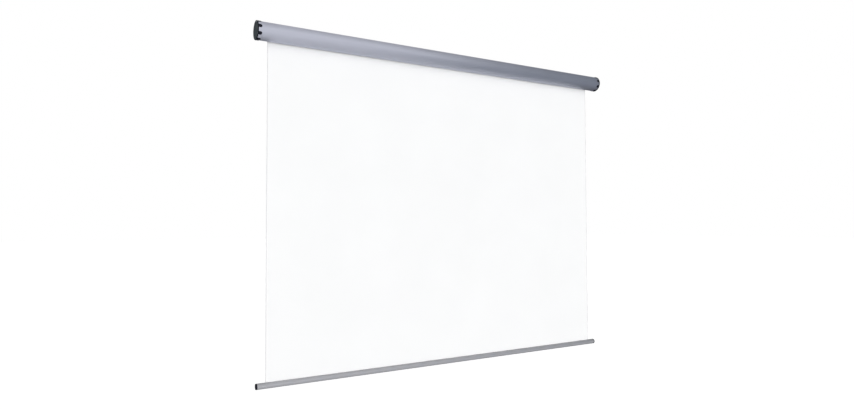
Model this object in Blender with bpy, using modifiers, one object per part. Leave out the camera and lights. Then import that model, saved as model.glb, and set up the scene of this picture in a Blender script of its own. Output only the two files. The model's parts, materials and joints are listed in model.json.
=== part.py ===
"""A pull-down projector screen in a round aluminium casing, fully drawn down.

X runs along the screen's width, Z is up, and the wall is the plane Y = 0 behind it.
The origin lies on the wall, at the height of the casing's axis, midway along it.
Every cross-section is drawn in a plane square to X, as (behind, above) the axis of the
piece that carries it.
"""

import math
from collections import namedtuple

import bmesh
import bpy
from mathutils import Matrix

# Overall sizes, in metres
FABRIC_WIDTH = 1.800
FABRIC_DROP = 1.400  # fabric in view, from the casing's underside to the bar's top
CASING_RADIUS = 0.0385
CASING_WALL = 0.0016
CASING_OVERHANG = 0.0545  # casing and cap past each edge of the fabric
BAR_RADIUS = 0.0125
BAR_WALL = 0.0014
BAR_OVERHANG = 0.0390  # bar and plug past each edge of the fabric
WALL_GAP = 0.0065  # wall to the casing's back, filled by the brackets

# Clearances
GAP = 0.0003  # between pieces that touch
TRAP_GAP = 0.0006  # round a pin or rod that turns in a moulding
STOP_GAP = 0.0005  # between the raised bar and the casing's caps
OVERCUT = 0.0010  # how far a cutter passes the face that it opens
CUTTER_CLEAR = 0.0001  # keeps a cutter's face off a face that it would share

# Fabric and roller
FABRIC_THICKNESS = 0.00045
ROLLER_RADIUS = 0.0200
ROLLER_WALL = 0.0013
ROLLER_OVERHANG = 0.0120  # roller tube past each edge of the fabric
TURNS_LEFT = 1.5  # turns that stay on the roller when the screen is down

# Keyhole grooves and the spline rods in them
SPLINE_RADIUS = 0.0016
GROOVE_MOUTH = 0.0024
GROOVE_COVER = 0.0009  # metal between a groove and the outside
GROOVE_WALL = 0.0012

# Slot that the fabric leaves the casing by
SLOT_AHEAD = 0.0062  # in front of the fabric
SLOT_BEHIND = 0.0078
LIP_RADIUS = 0.0018  # bead along each edge of the slot

# Channel along the casing's back, for the wall brackets
LAND_HALF = 0.0120
CHANNEL_MOUTH_HALF = 0.0055
CHANNEL_HALF = 0.0090
CHANNEL_DEPTH = 0.0040

# Screw ports inside the casing, as angles up from straight behind
PORT_ANGLES = (math.radians(104), math.radians(214))
PORT_RADIUS = 0.0036
PORT_BORE = 0.0019
PORT_MOUTH_HALF = 0.0013
PORT_SINK = 0.0009  # how deep a port's rim is sunk into the casing's wall

# End caps
CAP_FLANGE = 0.0040
CAP_EDGE = 0.0016  # round of the flange's outer edge
CAP_RIM = 0.0040
DISH_DEPTH = 0.0006
FINGER_COUNT = 8
FINGER_ANGLE = math.radians(165)  # first finger, just above straight ahead
FINGER_WIDTH = 0.0140
FINGER_LENGTH = 0.0145
FINGER_THICKNESS = 0.0011
FINGER_STEP = 0.0002  # disc's edge above the fingers
SLAB_HALF = 0.0050  # half the height of the slab that a finger is cut from
SPIGOT_DEPTH = 0.0120
SPIGOT_THICKNESS = 0.0020
BOSS_RADIUS = 0.0110
BOSS_LENGTH = 0.0185
SOCKET_DEPTH = 0.0120  # how deep the rod's blade or the bush sits in a boss
RIB_THICKNESS = 0.0018
RIB_DEPTH = 0.0090
CAP_SCREW_RADIUS = 0.0017
CAP_SCREW_HEAD = 0.0037
CAP_SCREW_LENGTH = 0.0160
CAP_SCREW_POINT = 0.0020
CAP_SCREW_SINK = 0.0008  # top of the head below the cap's rim
CAP_SCREW_EDGE = 0.0006

# Wall brackets
BRACKET_SPACING = 1.200
BRACKET_WIDTH = 0.0440
BRACKET_THICKNESS = 0.0020
BRACKET_TOP = 0.0420
BRACKET_FOOT = 0.0240
BRACKET_CORNER = 0.0050
JOGGLE = 0.0055  # height over which the strip steps back to the wall
BOLT_RADIUS = 0.0025
BOLT_HEAD_RADIUS = 0.0047
BOLT_HEAD = 0.0026
BOLT_EDGE = 0.0008
NUT_LENGTH = 0.0180
NUT_THICKNESS = 0.0030
NUT_CORNER = 0.0010
SLOT_SPACING = 0.0240
SCREW_SLOT_WIDTH = 0.0056
SCREW_SLOT_HEIGHT = 0.0130
SCREW_SLOT_LEVEL = 0.0300
SCREW_SLOT_END = 0.499  # radius of a slot's ends, as a share of its width

# Ratchet
PAWL_RIM_GAP = 0.0020  # between a pawl's eye and the housing's rim
PAWL_WHEEL_GAP = 0.0020  # between a pawl's eye and the wheel
NOTCH_DEPTH = 0.0017  # how far an engaged nose's centre lies inside the wheel's edge
PAWL_LEAD = math.radians(55)  # pivot to engaged nose, seen from the roller axis
PAWL_CLEARANCE = 0.0005  # between a lifted pawl and the wheel
PAWL_EYE = 0.0032
PAWL_TIP = 0.0011
PAWL_THICKNESS = 0.0040
PAWL_ANGLES = (math.radians(-130), math.radians(50))
PAWL_PIN_RADIUS = 0.00175
PAWL_PIN_HEAD = 0.0008
PAWL_PIN_EDGE = 0.0004
NOTCH_GAP = 0.0004
PLUG_FLANGE = 0.0030
RIM_THICKNESS = 0.0016
RIM_PAST_PAWLS = 0.0015
PLUG_DEPTH = 0.0260

# Spring, its rod and what they are held by
ROD_RADIUS = 0.0040
ROD_CHAMFER = 0.0010
ROD_PAST_SPRING = 0.0120
BLADE_WIDTH = 0.0032
BLADE_HEIGHT = 0.0090
BLADE_ROOT = 0.0020  # length of blade inside the round rod
SPRING_WIRE = 0.0008
SPRING_GAP = 0.0004
BARREL_RADIUS = 0.0080
BARREL_LENGTH = 0.0200
SPRING_LENGTH = 0.4400
SPRING_FROM_PLUG = 0.0060
ANCHOR_FROM_SPRING = 0.0040
SNOUT_ROOT = 0.0020  # length of the anchor's snout inside its plug
SPRING_TURNS = 20
POINTS_A_TURN = 9
PIN_RADIUS = 0.0030
PIN_CHAMFER = 0.0008
PIN_END_GAP = 0.0010
BUSH_WALL = 0.0022
BUSH_COLLAR = 0.0012  # thickness of the bush's collar
BUSH_COLLAR_STEP = 0.0020

# Bar end plugs
PLUG_CAP = 0.0050
PLUG_SPIGOT = 0.0180
PLUG_EDGE = 0.0012

# Places that follow from the sizes
WALL_STANDOFF = CASING_RADIUS + WALL_GAP  # wall to casing axis
LAYER_PITCH = FABRIC_THICKNESS + GAP
WRAP_START = ROLLER_RADIUS + GAP
FABRIC_PLANE = WRAP_START + TURNS_LEFT * LAYER_PITCH + FABRIC_THICKNESS / 2
BAR_DROP = CASING_RADIUS + FABRIC_DROP + BAR_RADIUS
CASING_HALF = FABRIC_WIDTH / 2 + CASING_OVERHANG
FLANGE_FACE = CASING_HALF - CAP_FLANGE
TUBE_HALF = FLANGE_FACE - GAP
ROLLER_HALF = FABRIC_WIDTH / 2 + ROLLER_OVERHANG
BAR_HALF = FABRIC_WIDTH / 2 + BAR_OVERHANG
BAR_TUBE_HALF = BAR_HALF - PLUG_CAP - GAP
CASING_BORE = CASING_RADIUS - CASING_WALL
CAP_RADIUS = CASING_RADIUS + GAP + FINGER_THICKNESS + FINGER_STEP
PORT_CENTRE = CASING_BORE + PORT_SINK - PORT_RADIUS
BOSS_FACE = FLANGE_FACE - BOSS_LENGTH
BUSH_RADIUS = PIN_RADIUS + TRAP_GAP + BUSH_WALL
PLUG_FACE = ROLLER_HALF + GAP + PLUG_FLANGE  # outer face of a roller plug's flange
PAWL_PIVOT = ROLLER_RADIUS - RIM_THICKNESS - PAWL_RIM_GAP - PAWL_EYE  # from roller axis
WHEEL_RADIUS = PAWL_PIVOT - PAWL_EYE - PAWL_WHEEL_GAP
PAWL_NOSE = WHEEL_RADIUS - NOTCH_DEPTH  # roller axis to an engaged nose's centre
SPRING_RADIUS = (BARREL_RADIUS + SPRING_GAP + SPRING_WIRE) / math.cos(math.pi / POINTS_A_TURN)
HEM_RADIUS = SPLINE_RADIUS + GAP + FABRIC_THICKNESS
GROOVE_RADIUS = HEM_RADIUS + GAP
GROOVE_DEPTH = GROOVE_RADIUS + GROOVE_COVER  # surface to the groove's centre

ROUND_STEPS = 60  # round the casing and its caps
TURN = 2 * math.pi
FINE = TURN / ROUND_STEPS  # step of a large arc
MEDIUM = 1.5 * FINE
COARSE = math.radians(18)
EDGE_STEP = math.radians(30)  # step of a rounded edge
WRAP_STEPS_A_TURN = 45
SCREW_STEPS = 16
PIN_STEPS = 20
ROD_STEPS = 24

KeyholeTube = namedtuple("KeyholeTube", "radius wall mouth_angle")
ROLLER = KeyholeTube(ROLLER_RADIUS, ROLLER_WALL, math.pi)
BAR = KeyholeTube(BAR_RADIUS, BAR_WALL, math.pi / 2)


# The scene and its collections

for old in list(bpy.data.objects):
    bpy.data.objects.remove(old, do_unlink=True)
PARTS = bpy.data.collections.new("projector_screen")
CUTTERS = bpy.data.collections.new("cutters")
bpy.context.scene.collection.children.link(PARTS)
bpy.context.scene.collection.children.link(CUTTERS)


def material(name, colour, roughness, metallic):
    made = bpy.data.materials.new(name)
    made.use_nodes = True
    shader = made.node_tree.nodes["Principled BSDF"]
    shader.inputs["Base Color"].default_value = (*colour, 1.0)
    shader.inputs["Roughness"].default_value = roughness
    shader.inputs["Metallic"].default_value = metallic
    return made


CASING_SILVER = material("casing_silver", (0.44, 0.46, 0.52), 0.42, 0.6)
BAR_SILVER = material("bar_silver", (0.40, 0.40, 0.43), 0.40, 0.7)
MILL_ALUMINIUM = material("mill_aluminium", (0.62, 0.63, 0.64), 0.35, 1.0)
CAP_PLASTIC = material("cap_plastic", (0.030, 0.034, 0.044), 0.50, 0.0)
INNER_PLASTIC = material("inner_plastic", (0.55, 0.55, 0.52), 0.55, 0.0)
ZINC_STEEL = material("zinc_steel", (0.55, 0.56, 0.58), 0.35, 1.0)
SPRING_STEEL = material("spring_steel", (0.25, 0.25, 0.27), 0.40, 1.0)
SCREEN_WHITE = material("screen_white", (0.86, 0.86, 0.86), 0.85, 0.0)


# Outlines

def polar(radius, angle, centre=(0.0, 0.0)):
    return (centre[0] + radius * math.cos(angle), centre[1] + radius * math.sin(angle))


def arc(radius, start, end, centre=(0.0, 0.0), step=FINE):
    count = max(1, math.ceil(abs(end - start) / step - 1e-6))
    return [polar(radius, start + (end - start) * k / count, centre) for k in range(count + 1)]


def circle(radius, centre=(0.0, 0.0), step=FINE):
    """A circle whose corners lie between those of a turned shape on the same axis."""
    return arc(radius, FINE / 4, FINE / 4 + TURN, centre, step)[:-1]


def bore(radius, centre=(0.0, 0.0)):
    """A small round hole, its corners out of line with those of the circle round it."""
    return arc(radius, FINE / 3, FINE / 3 + TURN, centre, COARSE)[:-1]


def meeting_angle(large, distance, small):
    """Where a small circle crosses a large one, as an angle at the small one's centre."""
    return math.acos((large**2 - distance**2 - small**2) / (2 * distance * small))


def seen_from_axis(distance, small, angle):
    """The same point as an angle at the large circle's centre."""
    return math.atan2(small * math.sin(angle), distance + small * math.cos(angle))


def rounded_box(width, height, corner, centre=(0.0, 0.0)):
    across, up = width / 2 - corner, height / 2 - corner
    points = []
    for quarter, (side, level) in enumerate(((1, 1), (-1, 1), (-1, -1), (1, -1))):
        middle = (centre[0] + side * across, centre[1] + level * up)
        start = quarter * math.pi / 2
        points += arc(corner, start, start + math.pi / 2, middle, COARSE)
    return points


def turned_to(points, angle, centre):
    return [
        polar(math.hypot(a, b), math.atan2(b, a) + angle, centre) for a, b in points
    ]


def box(low, high):
    return [(low[0], low[1]), (high[0], low[1]), (high[0], high[1]), (low[0], high[1])]


def groove_centre(tube):
    return polar(tube.radius - GROOVE_DEPTH, tube.mouth_angle)


def tube_outside(tube):
    """The outside of a tube, dipping through a narrow mouth into its round groove."""
    centre, at, half = groove_centre(tube), tube.mouth_angle, GROOVE_MOUTH / 2
    outer = math.asin(half / tube.radius)
    inner = math.asin(half / GROOVE_RADIUS)
    return arc(tube.radius, at + outer, at + TURN - outer, step=MEDIUM) + arc(
        GROOVE_RADIUS, at - inner, at - TURN + inner, centre, COARSE
    )


def tube_inside(tube, inset=0.0):
    """The bore of that tube, with the groove's wall standing into it."""
    centre, at = groove_centre(tube), tube.mouth_angle
    inner = tube.radius - tube.wall - inset
    bulge = GROOVE_RADIUS + GROOVE_WALL + inset
    meet = meeting_angle(inner, tube.radius - GROOVE_DEPTH, bulge)
    seen = seen_from_axis(tube.radius - GROOVE_DEPTH, bulge, meet)
    return arc(inner, at + seen, at + TURN - seen, step=MEDIUM) + arc(
        bulge, at - meet, at - TURN + meet, centre, COARSE
    )


def hem(tube, reach):
    """Fabric folded round a spline rod: a ring with a doubled tail out of the mouth."""
    half = FABRIC_THICKNESS
    centre = groove_centre(tube)
    start = math.asin(half / HEM_RADIUS)
    tail = [(reach, half), (reach, -half)]
    outside = arc(HEM_RADIUS, start, TURN - start, step=COARSE)[::-1] + tail
    return [turned_to(outside, tube.mouth_angle, centre), bore(SPLINE_RADIUS + GAP, centre)]


def strip(path, thickness, bend):
    """The outline of a strip of sheet metal bent along a path, with round bends."""
    middle = [path[0]]
    for before, corner, after in zip(path, path[1:], path[2:]):
        into = math.atan2(corner[1] - before[1], corner[0] - before[0])
        out = math.atan2(after[1] - corner[1], after[0] - corner[0])
        turn = (out - into + math.pi) % TURN - math.pi
        back = bend * math.tan(abs(turn) / 2)
        side = math.copysign(math.pi / 2, turn)
        start = polar(-back, into, corner)
        centre = polar(bend, into + side, start)
        middle += arc(bend, into - side, into - side + turn, centre, COARSE)
    middle.append(path[-1])
    edges = []
    for half in (thickness / 2, -thickness / 2):
        edge = []
        for k, point in enumerate(middle):
            ahead, behind = middle[min(k + 1, len(middle) - 1)], middle[max(k - 1, 0)]
            along = math.atan2(ahead[1] - behind[1], ahead[0] - behind[0])
            edge.append(polar(half, along + math.pi / 2, point))
        edges.append(edge)
    return edges[0] + edges[1][::-1]


# Solids

ALONG_X = Matrix(((0, 0, 1), (1, 0, 0), (0, 1, 0))).to_4x4()
ALONG_Y = Matrix(((1, 0, 0), (0, 0, -1), (0, 1, 0))).to_4x4()


def shade(mesh):
    mesh.shade_smooth()
    mesh.set_sharp_from_angle(angle=math.radians(32))


def finished(obj, paint, parent, piece):
    """Gives a new object its material and its carrier, in the right collection."""
    (PARTS if piece else CUTTERS).objects.link(obj)
    obj.data.materials.append(paint)
    if parent:
        obj.parent = parent
    if not piece:
        obj.hide_render = True
        obj.display_type = "WIRE"
    return obj


def extrusion(name, loops, low, high, paint, parent=None, piece=True, turn=ALONG_X):
    """A flat outline with its holes, carried along an axis from low to high."""
    curve = bpy.data.curves.new(name, "CURVE")
    curve.dimensions = "2D"
    curve.fill_mode = "BOTH"
    curve.extrude = (high - low) / 2
    for loop in loops:
        spline = curve.splines.new("POLY")
        spline.points.add(len(loop) - 1)
        for point, (across, up) in zip(spline.points, loop):
            point.co = (across, up, 0, 1)
        spline.use_cyclic_u = True
    drawn = bpy.data.objects.new(name, curve)
    CUTTERS.objects.link(drawn)
    mesh = solid_mesh(drawn)
    bpy.data.objects.remove(drawn)
    obj = bpy.data.objects.new(name, mesh)
    obj.matrix_local = turn @ Matrix.Translation((0, 0, (low + high) / 2))
    return finished(obj, paint, parent, piece)


def solid_mesh(drawn):
    """The closed mesh of an object as it is drawn, its seams welded."""
    graph = bpy.context.evaluated_depsgraph_get()
    mesh = bpy.data.meshes.new_from_object(drawn.evaluated_get(graph))
    work = bmesh.new()
    work.from_mesh(mesh)
    bmesh.ops.remove_doubles(work, verts=work.verts, dist=1e-6)
    bmesh.ops.recalc_face_normals(work, faces=work.faces)
    work.to_mesh(mesh)
    work.free()
    shade(mesh)
    return mesh


def turned(name, profile, paint, parent=None, piece=True, steps=48, turn=ALONG_X):
    """A profile of (along, radius) points spun round the axis."""
    area = sum(
        a[0] * b[1] - b[0] * a[1] for a, b in zip(profile, profile[1:] + profile[:1])
    )
    outline = profile if area > 0 else profile[::-1]
    bored = min(radius for _, radius in profile) > 0
    mesh = bpy.data.meshes.new(name)
    count = len(outline)
    edges = [(k, k + 1) for k in range(count - 1)] + ([(count - 1, 0)] if bored else [])
    mesh.from_pydata([(radius, 0, along) for along, radius in outline], edges, [])
    obj = bpy.data.objects.new(name, mesh)
    obj.matrix_local = turn
    finished(obj, paint, parent, piece)
    screw = obj.modifiers.new("turn", "SCREW")
    screw.steps = steps
    screw.render_steps = steps
    screw.use_smooth_shade = True
    screw.use_merge_vertices = True
    screw.merge_threshold = 0.00001
    return obj


def boolean(obj, operation, tool):
    step = obj.modifiers.new(operation.lower(), "BOOLEAN")
    step.operation = operation
    step.object = tool
    step.solver = "EXACT"
    return obj


def empty(name, place, parent=None):
    made = bpy.data.objects.new(name, None)
    made.empty_display_size = 0.05
    made.location = place
    made.parent = parent
    PARTS.objects.link(made)
    return made


def ends(side, inner, outer):
    """The low and high ends along X of a piece on the left (-1) or right (1)."""
    return tuple(sorted((side * inner, side * outer)))


CASING_AXIS = empty("casing_axis", (0, -WALL_STANDOFF, 0))
ROLLER_AXIS = empty("roller_axis", (0, 0, 0), CASING_AXIS)
BAR_AXIS = empty("bar_axis", (0, FABRIC_PLANE, -BAR_DROP), CASING_AXIS)


# Casing

def lip_centre_angles():
    """Angles of the beads along the slot's rear and front edges, below straight behind."""
    rear = -math.acos((FABRIC_PLANE + SLOT_BEHIND) / CASING_RADIUS)
    front = -math.acos((FABRIC_PLANE - SLOT_AHEAD) / CASING_RADIUS)
    bead = LIP_RADIUS / (CASING_RADIUS - LIP_RADIUS)
    return rear + bead, front - bead


def port_outline(at):
    """One screw port, followed from its upper to its lower side along the casing's bore."""
    centre = polar(PORT_CENTRE, at)
    meet = meeting_angle(CASING_BORE, PORT_CENTRE, PORT_RADIUS)
    outer = math.pi - math.asin(PORT_MOUTH_HALF / PORT_RADIUS)
    inner = math.pi - math.asin(PORT_MOUTH_HALF / PORT_BORE)
    return (
        arc(PORT_RADIUS, at + meet, at + outer, centre, COARSE)
        + arc(PORT_BORE, at + inner, at - inner, centre, COARSE)
        + arc(PORT_RADIUS, at - outer, at - meet, centre, COARSE)
    )


def channel_levels():
    """Distances behind the casing axis of the land, the inside of its lips and the floor."""
    back = math.sqrt(CASING_RADIUS**2 - LAND_HALF**2)
    under_lip = back - CASING_WALL
    return back, under_lip, under_lip - CHANNEL_DEPTH


def casing_outline():
    rear_lip, front_lip = lip_centre_angles()
    front_lip += TURN
    bead_centre = CASING_RADIUS - LIP_RADIUS
    bead_meet = meeting_angle(CASING_BORE, bead_centre, LIP_RADIUS)
    bead_seen = seen_from_axis(bead_centre, LIP_RADIUS, bead_meet)
    land = math.asin(LAND_HALF / CASING_RADIUS)
    back, under_lip, floor = channel_levels()
    outer_box = CHANNEL_HALF + CASING_WALL
    box_meet = math.asin(outer_box / CASING_BORE)

    points = arc(CASING_RADIUS, rear_lip, -land)
    points += [
        (back, -CHANNEL_MOUTH_HALF),
        (under_lip, -CHANNEL_MOUTH_HALF),
        (under_lip, -CHANNEL_HALF),
        (floor, -CHANNEL_HALF),
        (floor, CHANNEL_HALF),
        (under_lip, CHANNEL_HALF),
        (under_lip, CHANNEL_MOUTH_HALF),
        (back, CHANNEL_MOUTH_HALF),
    ]
    points += arc(CASING_RADIUS, land, front_lip)
    points += arc(
        LIP_RADIUS,
        front_lip,
        front_lip + TURN - bead_meet,
        polar(bead_centre, front_lip),
        COARSE,
    )[1:]
    port_meet = meeting_angle(CASING_BORE, PORT_CENTRE, PORT_RADIUS)
    port_seen = seen_from_axis(PORT_CENTRE, PORT_RADIUS, port_meet)
    reached = front_lip - bead_seen
    for at in sorted(PORT_ANGLES, reverse=True):
        points += arc(CASING_BORE, reached, at + port_seen)[1:-1]
        points += port_outline(at)
        reached = at - port_seen
    points += arc(CASING_BORE, reached, box_meet)[1:]
    points += [(floor - CASING_WALL, outer_box), (floor - CASING_WALL, -outer_box)]
    points += arc(CASING_BORE, -box_meet, rear_lip + bead_seen)
    points += arc(
        LIP_RADIUS,
        rear_lip + bead_meet,
        rear_lip + TURN,
        polar(bead_centre, rear_lip),
        COARSE,
    )[1:-1]
    return points


def make_casing():
    extrusion("casing_tube", [casing_outline()], -TUBE_HALF, TUBE_HALF, CASING_SILVER, CASING_AXIS)


# End caps

def finger_slabs(side):
    """Eight upright slabs whose outline is a finger's, to be trimmed to a thin ring."""
    half = FINGER_WIDTH / 2
    root = -CAP_FLANGE / 2
    outline = [(root, -half)]
    outline += arc(half, -math.pi / 2, math.pi / 2, (FINGER_LENGTH - half, 0), COARSE)
    outline.append((root, half))
    one = extrusion(
        "finger_slab", [outline], -SLAB_HALF, SLAB_HALF, CAP_PLASTIC, piece=False, turn=Matrix()
    )
    work = bmesh.new()
    for k in range(FINGER_COUNT):
        angle = FINGER_ANGLE + k * TURN / FINGER_COUNT
        outward = (0, math.cos(angle), math.sin(angle))
        inward_x = (-side, 0, 0)
        across = (0, outward[2] * -side, outward[1] * side)
        place = Matrix((inward_x, across, outward)).transposed().to_4x4()
        place.translation = (
            side * FLANGE_FACE,
            CASING_RADIUS * outward[1],
            CASING_RADIUS * outward[2],
        )
        copy = one.data.copy()
        copy.transform(place)
        work.from_mesh(copy)
        bpy.data.meshes.remove(copy)
    mesh = bpy.data.meshes.new("finger_slabs")
    work.to_mesh(mesh)
    work.free()
    bpy.data.objects.remove(one)
    return finished(bpy.data.objects.new("finger_slabs", mesh), CAP_PLASTIC, CASING_AXIS, False)


def finger_ring(side):
    tip = FLANGE_FACE - FINGER_LENGTH - OVERCUT
    root = FLANGE_FACE + CAP_FLANGE / 2
    inner, outer = CASING_RADIUS + GAP, CAP_RADIUS - FINGER_STEP
    profile = [(side * tip, inner), (side * tip, outer), (side * root, outer), (side * root, inner)]
    ring = turned("finger_ring", profile, CAP_PLASTIC, CASING_AXIS, False, steps=ROUND_STEPS)
    return boolean(ring, "INTERSECT", finger_slabs(side))


def spigot_stretches():
    """Start and end angles of the spigot's arcs, clear of the ports, channel and slot."""
    inner = CASING_BORE - GAP - SPIGOT_THICKNESS
    front_lip = lip_centre_angles()[1]
    port = (PORT_RADIUS + SPIGOT_THICKNESS) / PORT_CENTRE
    channel = math.asin((CHANNEL_HALF + CASING_WALL + SPIGOT_THICKNESS) / inner)
    lip = 2 * LIP_RADIUS / inner
    first, second = PORT_ANGLES
    return (
        (channel, first - port),
        (first + port, second - port),
        (second + port, TURN + front_lip - lip),
    )


def spigot_loops():
    outer = CASING_BORE - GAP
    inner = outer - SPIGOT_THICKNESS
    return [
        arc(outer, low, high, step=2 * FINE) + arc(inner, high, low, step=2 * FINE)
        for low, high in spigot_stretches()
    ]


def rib_loops():
    """Radial ribs from the boss out to the middle of each stretch of spigot."""
    loops = []
    low, high = BOSS_RADIUS - RIB_THICKNESS, CASING_BORE - GAP - SPIGOT_THICKNESS / 2
    half = RIB_THICKNESS / 2
    for start, end in spigot_stretches():
        rib = box((low, -half), (high, half))
        loops.append(turned_to(rib, (start + end) / 2, (0, 0)))
    return loops


def cap_profile(side):
    """The disc: a shallow dish inside a raised rim, and a rounded outer edge."""
    face, back = CASING_HALF, FLANGE_FACE
    points = [(back, 0), (back, CAP_RADIUS)]
    points += [
        (face - CAP_EDGE + along, CAP_RADIUS - CAP_EDGE + out)
        for out, along in arc(CAP_EDGE, 0, math.pi / 2, step=EDGE_STEP)
    ]
    points += [
        (face, CAP_RADIUS - CAP_RIM),
        (face - DISH_DEPTH, CAP_RADIUS - CAP_RIM - DISH_DEPTH),
        (face - DISH_DEPTH, 0),
    ]
    return [(side * along, radius) for along, radius in points]


def end_cap(name, side, socket):
    cap = turned(name, cap_profile(side), CAP_PLASTIC, CASING_AXIS, steps=ROUND_STEPS)
    boss = [circle(BOSS_RADIUS, step=MEDIUM)]
    boolean(cap, "UNION", finger_ring(side))
    pieces = (
        ("spigot", spigot_loops(), SPIGOT_DEPTH, CAP_FLANGE / 3),
        ("boss", boss, BOSS_LENGTH, CAP_FLANGE / 4),
        ("ribs", rib_loops(), RIB_DEPTH, CAP_FLANGE / 5),
    )
    for part, loops, depth, root in pieces:
        low, high = ends(side, FLANGE_FACE - depth, FLANGE_FACE + root)
        tool = extrusion(part, loops, low, high, CAP_PLASTIC, CASING_AXIS, False)
        boolean(cap, "UNION", tool)
    boolean(cap, "DIFFERENCE", socket)
    for at in PORT_ANGLES:
        boolean(cap, "DIFFERENCE", screw_seat(side, at))
    return cap


def screw_seat(side, at):
    """A counterbored hole through the disc, over one of the casing's screw ports."""
    seat = CASING_HALF - CAP_FLANGE / 2 - GAP
    hole, head = CAP_SCREW_RADIUS + GAP, CAP_SCREW_HEAD + GAP
    inner, outer = FLANGE_FACE - OVERCUT, CASING_HALF + OVERCUT
    profile = [(inner, 0), (inner, hole), (seat, hole), (seat, head), (outer, head), (outer, 0)]
    profile = [(side * along, radius) for along, radius in profile]
    cutter = turned("screw_seat", profile, CAP_PLASTIC, CASING_AXIS, False, steps=PIN_STEPS)
    across, up = polar(PORT_CENTRE, at)
    cutter.matrix_local = Matrix.Translation((0, across, up)) @ ALONG_X
    return cutter


def cap_screw(name, side, at):
    """A low round head in its counterbore, and a shank into the screw port."""
    across, up = polar(PORT_CENTRE, at)
    seat = CASING_HALF - CAP_FLANGE / 2
    top = CASING_HALF - CAP_SCREW_SINK
    tip = seat - CAP_SCREW_LENGTH
    profile = [
        (tip, 0),
        (tip + CAP_SCREW_POINT, CAP_SCREW_RADIUS),
        (seat, CAP_SCREW_RADIUS),
        (seat, CAP_SCREW_HEAD),
        (top - CAP_SCREW_EDGE, CAP_SCREW_HEAD),
        (top, CAP_SCREW_HEAD - 2 * CAP_SCREW_EDGE),
        (top, 0),
    ]
    profile = [(side * along, radius) for along, radius in profile]
    screw = turned(name, profile, ZINC_STEEL, CASING_AXIS, steps=SCREW_STEPS)
    screw.matrix_local = Matrix.Translation((0, across, up)) @ ALONG_X
    return screw


def make_end_caps():
    mouth, bottom = BOSS_FACE - OVERCUT, BOSS_FACE + SOCKET_DEPTH + GAP
    half_width = BLADE_WIDTH / 2 + GAP
    half_height = BLADE_HEIGHT / 2 + GAP
    blade = [box((-half_width, -half_height), (half_width, half_height))]
    low, high = ends(-1, mouth, bottom)
    slot = extrusion("spear_slot", blade, low, high, CAP_PLASTIC, CASING_AXIS, False)
    end_cap("end_cap_left", -1, slot)
    bush = [bore(BUSH_RADIUS + GAP)]
    low, high = ends(1, mouth, bottom)
    socket = extrusion("bush_socket", bush, low, high, CAP_PLASTIC, CASING_AXIS, False)
    end_cap("end_cap_right", 1, socket)
    for word, side in (("left", -1), ("right", 1)):
        for place, at in zip(("upper", "lower"), PORT_ANGLES):
            cap_screw(f"cap_screw_{word}_{place}", side, at)


# Wall brackets, which clamp the casing's back

def wall_bracket(word, middle):
    back = channel_levels()[0]
    crown = back + GAP + BRACKET_THICKNESS / 2
    at_wall = WALL_STANDOFF - BRACKET_THICKNESS / 2
    path = [
        (at_wall, BRACKET_TOP),
        (at_wall, LAND_HALF + JOGGLE),
        (crown, LAND_HALF),
        (crown, -LAND_HALF),
        (at_wall, -LAND_HALF - JOGGLE),
        (at_wall, -BRACKET_FOOT),
    ]
    low, high = middle - BRACKET_WIDTH / 2, middle + BRACKET_WIDTH / 2
    outline = strip(path, BRACKET_THICKNESS, 2 * BRACKET_THICKNESS)
    name = f"wall_bracket_{word}"
    bracket = extrusion(name, [outline], low, high, ZINC_STEEL, CASING_AXIS)
    height = BRACKET_TOP + BRACKET_FOOT
    level = (BRACKET_TOP - BRACKET_FOOT) / 2
    plan = rounded_box(
        BRACKET_WIDTH, height + 2 * CUTTER_CLEAR, BRACKET_CORNER, (middle, level)
    )
    near, far = -WALL_STANDOFF - OVERCUT, -back + OVERCUT
    blank = extrusion("blank", [plan], near, far, ZINC_STEEL, CASING_AXIS, False, ALONG_Y)
    boolean(bracket, "INTERSECT", blank)
    slots = [
        rounded_box(
            SCREW_SLOT_WIDTH,
            SCREW_SLOT_HEIGHT,
            SCREW_SLOT_WIDTH * SCREW_SLOT_END,
            (middle + side * SLOT_SPACING / 2, SCREW_SLOT_LEVEL),
        )
        for side in (-1, 1)
    ]
    slots.append(bore(BOLT_RADIUS + GAP, (middle, 0)))
    tool = extrusion("slots", slots, near, far, ZINC_STEEL, CASING_AXIS, False, ALONG_Y)
    boolean(bracket, "DIFFERENCE", tool)


def clamp_bolt(word, middle):
    back, _, floor = channel_levels()
    end = -floor - GAP
    seat = -back - GAP - BRACKET_THICKNESS - GAP
    top = seat - BOLT_HEAD
    profile = [
        (end, 0),
        (end, BOLT_RADIUS),
        (seat, BOLT_RADIUS),
        (seat, BOLT_HEAD_RADIUS),
        (top + BOLT_EDGE, BOLT_HEAD_RADIUS),
        (top, BOLT_HEAD_RADIUS - 2 * BOLT_EDGE),
        (top, 0),
    ]
    bolt = turned(f"clamp_bolt_{word}", profile, ZINC_STEEL, CASING_AXIS, steps=PIN_STEPS)
    bolt.matrix_local = Matrix.Translation((middle, 0, 0)) @ ALONG_Y


def channel_nut(word, middle):
    plate = rounded_box(NUT_LENGTH, 2 * (CHANNEL_HALF - GAP), NUT_CORNER, (middle, 0))
    hole = bore(BOLT_RADIUS + GAP, (middle, 0))
    near = GAP - channel_levels()[1]
    far = near + NUT_THICKNESS
    name = f"channel_nut_{word}"
    extrusion(name, [plate, hole], near, far, ZINC_STEEL, CASING_AXIS, turn=ALONG_Y)


def make_brackets():
    for word, side in (("left", -1), ("right", 1)):
        middle = side * BRACKET_SPACING / 2
        wall_bracket(word, middle)
        clamp_bolt(word, middle)
        channel_nut(word, middle)


# Roller

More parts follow.
